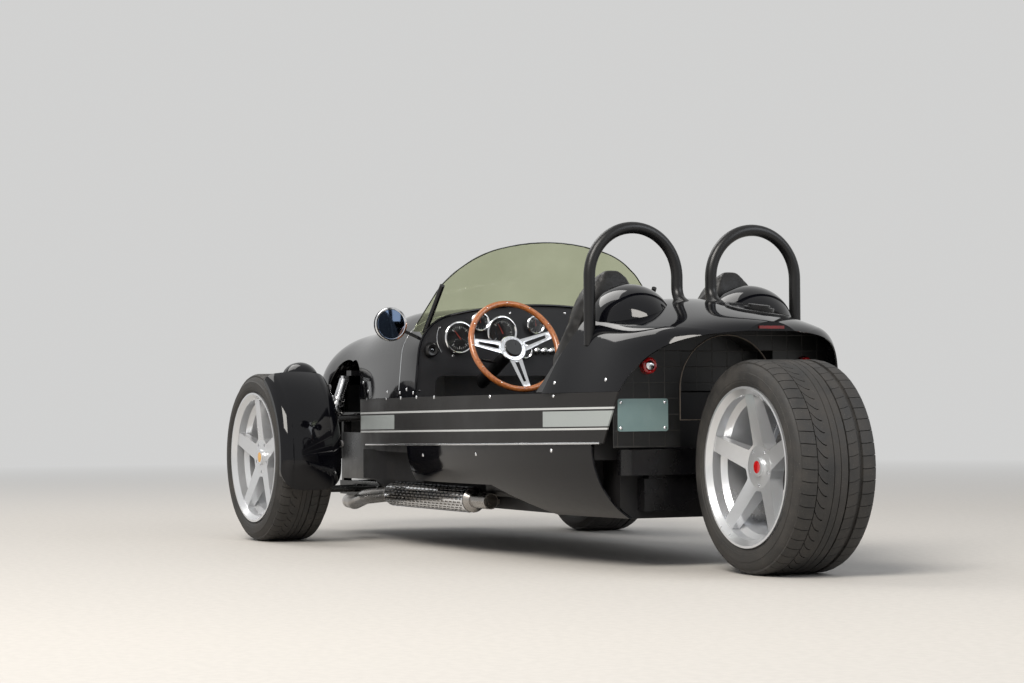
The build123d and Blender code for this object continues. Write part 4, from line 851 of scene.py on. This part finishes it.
for name in ("cushion", "back", "shell"):
    pad = makePad(name, seatLook[name])
    twin = copyOf(pad, mirrorY)
    for side, piece in (("Left", pad), ("Right", twin)):
        done(piece, name + "Pad" + side, "blackLeather", angle=60)
        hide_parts("seat_" + side.lower())
print("seats")

# perforated heat shields on the exhausts
shield = {
    "front": 2108, "rear": 1407, "radius": 0.0445, "axis": (0.400, 0.187), "rows": 80, "round": 52,
    "wall": 0.0012,
}
length = (shield["front"] - shield["rear"]) / 1000
ringPoints = [(shield["rear"] / 1000 + length * k / shield["rows"], shield["radius"])
              for k in range(shield["rows"] + 1)]


def slotHere(center, normal):              # slots three faces long, every second row moved by half a pitch
    along = int((center.x - ringPoints[0][0]) / length * shield["rows"])
    around = int((math.atan2(center.z, center.y) % math.tau) / math.tau * shield["round"])
    shift = 2 * (around // 2 % 2)
    return around % 2 == 0 and (along + shift) % 4 != 3 and 0 < along < shield["rows"] - 1


sleeve = spun(ringPoints, shield["round"], axis=(1, 0, 0))
pickFaces(sleeve, slotHere)
bpy.ops.mesh.delete(type='FACE')
leaveEdit()
addModifier(sleeve, 'SOLIDIFY', thickness=shield["wall"], offset=0)
for v in sleeve.data.vertices:
    v.co = Vector((v.co.x + rearAxle, v.co.y + shield["axis"][0], v.co.z + shield["axis"][1]))
twin = copyOf(sleeve, mirrorY)
done(sleeve, "heatShieldLeft", "chrome")
done(twin, "heatShieldRight", "chrome")
print("heat shields")

# tail lights and plate screws
lamps = {"places": ((0.285, 0.642), (-0.285, 0.642)), "face": at(rearFace) - 0.0003}
lensParts, ringParts = [], []
for y, z in lamps["places"]:
    into = facing((-1, 0, 0), (lamps["face"] - 0.0142, y, z))
    lensParts.append(turned([(0, 0.0065), (0.008, 0.006), (0.0135, 0.004), (0.0150, 0.001), (0.0150, 0),
                             (0, 0)], 32, into))
    ringParts.append(turned([(0.0155, 0.0), (0.0158, 0.0042), (0.019, 0.0052), (0.0235, 0.0035),
                             (0.0255, 0.0), (0.0155, 0.0)], 40, into))
    for k in range(7):                                     # small reflector cups behind the clear centre
        right, up = onCircle(0.0085 if k < 6 else 0, k * math.tau / 6)
        lensParts.append(ball((lamps["face"] - 0.0145, y + right, z + up), 0.0036))
done(joined(lensParts), "lampCentres", "chrome")
done(joined(ringParts), "lampRings", "redLens")


def buttonHead(place, direction, radius=0.0062):
    return turned([(0, radius * 0.5), (radius * 0.45, radius * 0.47), (radius * 0.8, radius * 0.28),
                   (radius, 0.0), (radius, -0.001), (0, -0.001)], 16, facing(direction, place))


plateScrews = [buttonHead((at(rearFace) - 0.0024, 0.303 + dy, 0.487 + dz), (-1, 0, 0), 0.0055)
               for dy in (-0.078, 0.078) for dz in (-0.040, 0.040)]
done(joined(plateScrews), "plateScrews", "chrome")

# button-head screws on the body, found on the surface
bodyScrews = {
    # node: (station, height) pairs on the left side
    "side_panel_left": ((640, 548), (1040, 546), (1500, 544), (1680, 544), (1860, 541), (2050, 539),
                        (2350, 537)),
    "skirt_left": ((655, 372), (1150, 352), (1620, 340)),
    "rear_deck": ((385, 598), (640, 590)),
    "cowl": ((1722, 560), (1800, 572), (1876, 560)),
    "nose": ((2040, 563), (2340, 566), (2440, 600)),
}
screwParts = []
for name, places in bodyScrews.items():
    for s, z in places:
        hit, where, normal = surface(name, (at(s), outside, z / 1000), (0, -1, 0))
        if hit:
            head = buttonHead(where - normal * 0.0004, normal)
            screwParts += [head, copyOf(head, mirrorY)]
done(joined(screwParts), "bodyScrews", "chrome")
print("screws", len(screwParts))

# bright bead along the foot of each side panel
bead = {"stations": [400 + 104 * k for k in range(21)], "radius": 0.0035, "rise": 0.0006}
rearFoot, frontFoot = stripe["foot"]
rearEnd, frontEnd = stripe["ends"]
spine = []
for s in bead["stations"]:
    z = rearFoot + (frontFoot - rearFoot) * (s - rearEnd) / (frontEnd - rearEnd) + bead["rise"]
    hit, where, normal = surface("side_panel_left", (at(s), outside, z + 0.004), (0, -1, 0))
    if hit:
        spine.append(Vector((where.x, where.y, z)))
done(bothSides(tubeAlong(spine, bead["radius"])), "panelBeads", "polishedAlloy")
print("beads")

# mirror glass and rings
mirrorLook = {"places": ((0.560, 0.806), (-0.560, 0.806)), "face": 0.2942, "glass": 0.0525, "rim": 0.0606}
mirrorGlasses, mirrorRings = [], []
r, out = mirrorLook["glass"], mirrorLook["rim"]
for y, z in mirrorLook["places"]:
    into = facing((-1, 0, 0), (mirrorLook["face"], y, z))
    mirrorGlasses.append(turned([(0, 0.0016), (r * 0.6, 0.0014), (r, 0.0008), (r, -0.0006), (0, -0.0006)],
                                64, into))
    mirrorRings.append(turned([(r - 0.0006, -0.0006), (r - 0.0006, 0.0020), (r + 0.0012, 0.0042),
                               (out - 0.0015, 0.0040), (out, 0.0015), (out, -0.0060), (out - 0.002, -0.0060),
                               (r - 0.0006, -0.0006)], 64, into))
done(joined(mirrorGlasses), "mirrorGlasses", "mirrorGlass")
done(joined(mirrorRings), "mirrorRings", "chrome")

# grey strip ahead of the rear deck's front edge
deckStrip = {
    # height, station and y of the deck's edge, reach ahead of it
    "rows": ((559, 690, 473, 70), (616, 676, 446.5, 52), (673, 662, 420, 38), (716, 640, 397.5, 22),
             (759, 617, 375, 10)),
    "under": 14, "inset": 0.0034, "thick": 0.003,
}
deselect()
bpy.ops.mesh.primitive_grid_add(x_subdivisions=3, y_subdivisions=4, size=1)
strip = current()
for v in strip.data.vertices:
    height, s, y, reach = deckStrip["rows"][round((v.co.y + 0.5) * 4)]
    s += -deckStrip["under"] + (reach + deckStrip["under"]) * (v.co.x + 0.5)
    v.co = Vector((at(s), y / 1000 - deckStrip["inset"], height / 1000))
addModifier(strip, 'SOLIDIFY', thickness=deckStrip["thick"], offset=0)
enterEdit(strip)
bpy.ops.mesh.normals_make_consistent(inside=False)
leaveEdit()
done(bothSides(strip), "deckStrips", "matteGrey")

# metal lip round the wheel arch in the rear panel
archLip = {"radius": 0.170, "center": 0.568, "foot": 0.470, "thick": 0.0022, "face": at(rearFace) - 0.001}
lipLine = [Vector((archLip["face"], archLip["radius"], archLip["foot"]))]
for k in range(49):
    y, z = onCircle(archLip["radius"], math.pi * k / 48)
    lipLine.append(Vector((archLip["face"], y, archLip["center"] + z)))
lipLine.append(Vector((archLip["face"], -archLip["radius"], archLip["foot"])))
done(tubeAlong(lipLine, archLip["thick"], True), "archLip", "lipMetal")

# windscreen's ground edge, found on the glass
glassEdge = {"reach": 0.465, "steps": 62, "thick": 0.0022, "between": (0.785, 1.115), "proud": 0.0015}
edgeLine = []
for k in range(glassEdge["steps"] + 1):
    y = glassEdge["reach"] * (2 * k / glassEdge["steps"] - 1)
    low, high = glassEdge["between"]
    place = None
    for halving in range(14):
        middle = (low + high) / 2
        hit, where, normal = surface("windscreen", (-0.4, y, middle), (1, 0, 0))
        if hit:
            low, place = middle, where.copy()
        else:
            high = middle
    if place is not None:
        edgeLine.append(place + Vector((glassEdge["proud"], 0, 0)))
print("screen edge", len(edgeLine))
done(tubeAlong(edgeLine, glassEdge["thick"]), "screenEdge", "screenEdge")

# roll hoops as smooth tubes; the inner leg bends back on to the deck
hoop = {
    "station": 548, "center": 0.222, "radius": 0.159, "spring": 0.928, "tube": 0.019, "foot": 0.708,
    "bend": 55, "bendTop": 897.6, "bendTurn": 65.8, "end": (484, 833.2),
}
inner = hoop["center"] - hoop["radius"]
hoopLine = [Vector((at(hoop["station"]), hoop["center"] + hoop["radius"], hoop["foot"]))]
for k in range(65):
    y, z = onCircle(hoop["radius"], math.pi * k / 64)
    hoopLine.append(Vector((at(hoop["station"]), hoop["center"] + y, hoop["spring"] + z)))
for k in range(13):
    s, z = onCircle(hoop["bend"], math.radians(hoop["bendTurn"] * k / 12))
    hoopLine.append(Vector((at(hoop["station"] - hoop["bend"] + s), inner, (hoop["bendTop"] - z) / 1000)))
hoopLine.append(Vector((at(hoop["end"][0]), inner, hoop["end"][1] / 1000)))
hoops = bothSides(tubeAlong(hoopLine, hoop["tube"], fine=8))
done(hoops, "rollHoops", "hoopBlack")
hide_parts("roll_hoops")

# oval sockets beside the hoops' outer feet: each dark moulded ring is partly the real opening round the tube
# and partly painted shade, standing in for the shadow inside the recess where the tube enters the deck
socket = {"station": 549, "height": 0.728, "behind": 45, "hole": 0.0205, "rim": 0.0285, "tall": 1.45}
rayStart = (at(socket["station"] - socket["behind"]), outside, socket["height"])
hit, where, normal = surface("rear_deck", rayStart, (0, -1, 0))
print("deck beside the hoop", hit, [round(c, 4) for c in where], [round(c, 2) for c in normal])
ring = spun([(socket["hole"], -0.004), (socket["hole"], 0.0012), (socket["hole"] + 0.002, 0.0028),
             (socket["rim"] - 0.002, 0.0022), (socket["rim"], -0.0005), (socket["rim"], -0.004),
             (socket["hole"], -0.004)], 48)
for v in ring.data.vertices:
    v.co.z *= socket["tall"]
ring.data.transform(facing(normal, (at(socket["station"]), where.y, socket["height"])) @ upright)
done(bothSides(ring), "hoopSocketShades", "moulded")

# plates on the front frame's sides, seen behind the wheels
framePlate = {"stations": (2474, 2924), "heights": (0.222, 0.405), "y": 0.2855, "thick": 0.003, "edge": 0.001}
rearEnd, frontEnd = framePlate["stations"]
low, high = framePlate["heights"]
sidePlate = bar(((frontEnd - rearEnd) / 1000, framePlate["thick"], high - low),
                (at((rearEnd + frontEnd) / 2), framePlate["y"], (low + high) / 2), framePlate["edge"])
done(bothSides(sidePlate), "framePlates", "moulded")

# cooling core behind the grille, on lugs to the nose's walls
core = {"x": (1.745, 1.765), "half": 0.150, "heights": (0.330, 0.595), "lug": (0.016, 0.020), "sink": 0.002}
rearX, frontX = core["x"]
low, high = core["heights"]
coreX, coreZ = (rearX + frontX) / 2, (low + high) / 2
coreParts = [bar((frontX - rearX, core["half"] * 2, high - low), (coreX, 0, coreZ), 0.002)]
for side in (1, -1):
    hit, where, normal = surface("nose", (coreX, side * (core["half"] + 0.001), coreZ), (0, side, 0))
    print("nose wall", hit, [round(c, 4) for c in where] if hit else None)
    if hit:
        wide = abs(where.y) - core["half"] + core["sink"] * 2
        coreParts.append(bar((core["lug"][0], wide, core["lug"][1]),
                             (coreX, side * (core["half"] + wide / 2 - core["sink"]), coreZ), 0.001))
done(joined(coreParts), "coolingCore", "coreFins")

# thin seam bead on the cowl and the rolled lip at its rear edge
cowlLines = {
    # station, thickness, sink, finish and slot
    "seam": (1891.5, 0.0013, 0.0, "chrome", "chrome_trim"),
    "lip": (1708, 0.0045, 0.0025, "blackPaint", "gloss_black"),
}
for name, (station, thick, sink, finish, slot) in cowlLines.items():
    seamLine = []
    for k in range(61):
        turn = math.radians(6 + 168 * k / 60)
        away = Vector((0, *onCircle(1, turn)))
        hit, where, normal = surface("cowl", Vector((at(station), 0, 0.52)) + away, -away)
        if hit and where.z > 0.545:
            seamLine.append(where - away * sink)
    print("cowl", name, len(seamLine))
    done(tubeAlong(seamLine, thick), "cowl" + name.title(), finish)

# headlamp lenses and rims
headLook = {"place": (0.405, 0.610), "rim": 0.0735, "glass": 0.0655}
r, out = headLook["glass"], headLook["rim"]
headShapes = {
    "headGlass": ((0, 0.016), (r * 0.4, 0.0148), (r * 0.75, 0.0105), (r, 0.0035), (r, 0.0015), (0, 0.0015)),
    "headRims": ((r - 0.001, -0.001), (r - 0.001, 0.004), (r + 0.002, 0.0065), (out - 0.002, 0.005),
                 (out, 0.0015), (out, -0.001), (r - 0.001, -0.001)),
    "headBowls": ((0, 0.0013), (r, 0.0013), (r, -0.0005), (0, -0.0005)),
}
y, z = headLook["place"]
hit, where, normal = surface("headlamps", (2.0, y, z), (-1, 0, 0))
print("lamp face", hit, [round(c, 4) for c in where], [round(c, 2) for c in normal])
for name, points in headShapes.items():
    pair = [turned(points, 56, facing((1, 0, 0), (where.x, y * side, z))) for side in (1, -1)]
    if name == "headGlass":
        done(joined(pair), name, "clearLens")
    else:
        done(joined(pair), name, "chrome")
print("trim and lamps")

# camera, floor and light
camera = {
    "place": (-8.4413, 4.2161, 0.5652), "yaw": 25.3175, "pitch": 1.0655, "roll": -0.387, "lens": 93.18,
}
yaw, pitch, roll = (math.radians(camera[k]) for k in ("yaw", "pitch", "roll"))
forward = Vector((math.cos(pitch) * math.cos(yaw), -math.cos(pitch) * math.sin(yaw), math.sin(pitch)))
right = forward.cross(Vector((0, 0, 1))).normalized()
up = right.cross(forward)
rightRolled = right * math.cos(roll) + up * math.sin(roll)
upRolled = up * math.cos(roll) - right * math.sin(roll)
view = bpy.data.cameras.new("view")
view.lens = camera["lens"]
view.sensor_width = 36
view.clip_end = 200
viewer = bpy.data.objects.new("view", view)
bpy.context.scene.collection.objects.link(viewer)
turn = Matrix((rightRolled, upRolled, -forward)).transposed().to_4x4()
viewer.matrix_world = Matrix.Translation(camera["place"]) @ turn
bpy.context.scene.camera = viewer

studio = {
    "floor": (0.56, 0.53, 0.49), "backdrop": (0.64, 0.64, 0.635), "fadeFrom": 3.5, "fadeTo": 12.0,
    "world": (0.80, 0.84, 0.90), "worldStrength": 0.5, "aim": (0, 0, 0.4),
    "lights": (
        # name, place, size, watts, colour
        ("key", (-5.0, 6.0, 7.0), 4.5, 950, (1.0, 0.96, 0.90)),
        ("fill", (-7.0, -5.0, 5.0), 5.0, 220, (0.90, 0.94, 1.0)),
        ("rim", (5.5, 2.0, 7.0), 5.0, 300, (1.0, 0.98, 0.95)),
    ),
}


def seenRays(m):                  # 1 for rays that come from the camera, glass or a glossy surface
    rays = node(m, "ShaderNodeLightPath").outputs
    through = together(m, rays["Is Camera Ray"], rays["Is Transmission Ray"], 'MAXIMUM')
    return together(m, through, rays["Is Glossy Ray"], 'MAXIMUM')


deselect()
bpy.ops.mesh.primitive_plane_add(size=60, location=(0, 0, 0))
floor = current()
floor.name = "floor"
ground = material("floorPaint", studio["floor"], 0.75)
floorCoords = objectCoords(ground)
speckle = noise(ground, floorCoords, 38, 6)
toShader(ground, mixColors(ground, ranged(ground, speckle, 0, 1, 0.4, 0.6), studio["floor"],
                           tuple(c * 0.95 for c in studio["floor"])))
far = node(ground, "ShaderNodeVectorMath", operation='LENGTH')
link(ground, floorCoords, far.inputs[0])
fade = ranged(ground, far.outputs["Value"], 0, 1, studio["fadeFrom"], studio["fadeTo"])
glow = node(ground, "ShaderNodeEmission", Color=(*studio["backdrop"], 1))
blendShader = node(ground, "ShaderNodeMixShader")
link(ground, together(ground, fade, seenRays(ground)), blendShader.inputs[0])
link(ground, shaderOf(ground).outputs[0], blendShader.inputs[1])
link(ground, glow.outputs[0], blendShader.inputs[2])
link(ground, blendShader.outputs[0], ground.node_tree.nodes["Material Output"].inputs["Surface"])
floor.data.materials.append(ground)

world = bpy.context.scene.world or bpy.data.worlds.new("World")
bpy.context.scene.world = world
world.use_nodes = True
world.node_tree.nodes.clear()
output = node(world, "ShaderNodeOutputWorld")
ambient = node(world, "ShaderNodeBackground", Color=(*studio["world"], 1), Strength=studio["worldStrength"])
plain = node(world, "ShaderNodeBackground", Color=(*studio["backdrop"], 1))
mixWorld = node(world, "ShaderNodeMixShader")
link(world, seenRays(world), mixWorld.inputs[0])
link(world, ambient.outputs[0], mixWorld.inputs[1])
link(world, plain.outputs[0], mixWorld.inputs[2])
link(world, mixWorld.outputs[0], output.inputs["Surface"])

for name, place, size, watts, tone in studio["lights"]:
    lamp = bpy.data.lights.new(name, 'AREA')
    lamp.size = size
    lamp.energy = watts
    lamp.color = tone
    holder = bpy.data.objects.new(name, lamp)
    bpy.context.scene.collection.objects.link(holder)
    holder.location = place
    holder.rotation_euler = (Vector(studio["aim"]) - Vector(place)).to_track_quat('-Z', 'Y').to_euler()

bpy.context.scene.view_settings.view_transform = 'Standard'
bpy.context.view_layer.update()
print("stage")
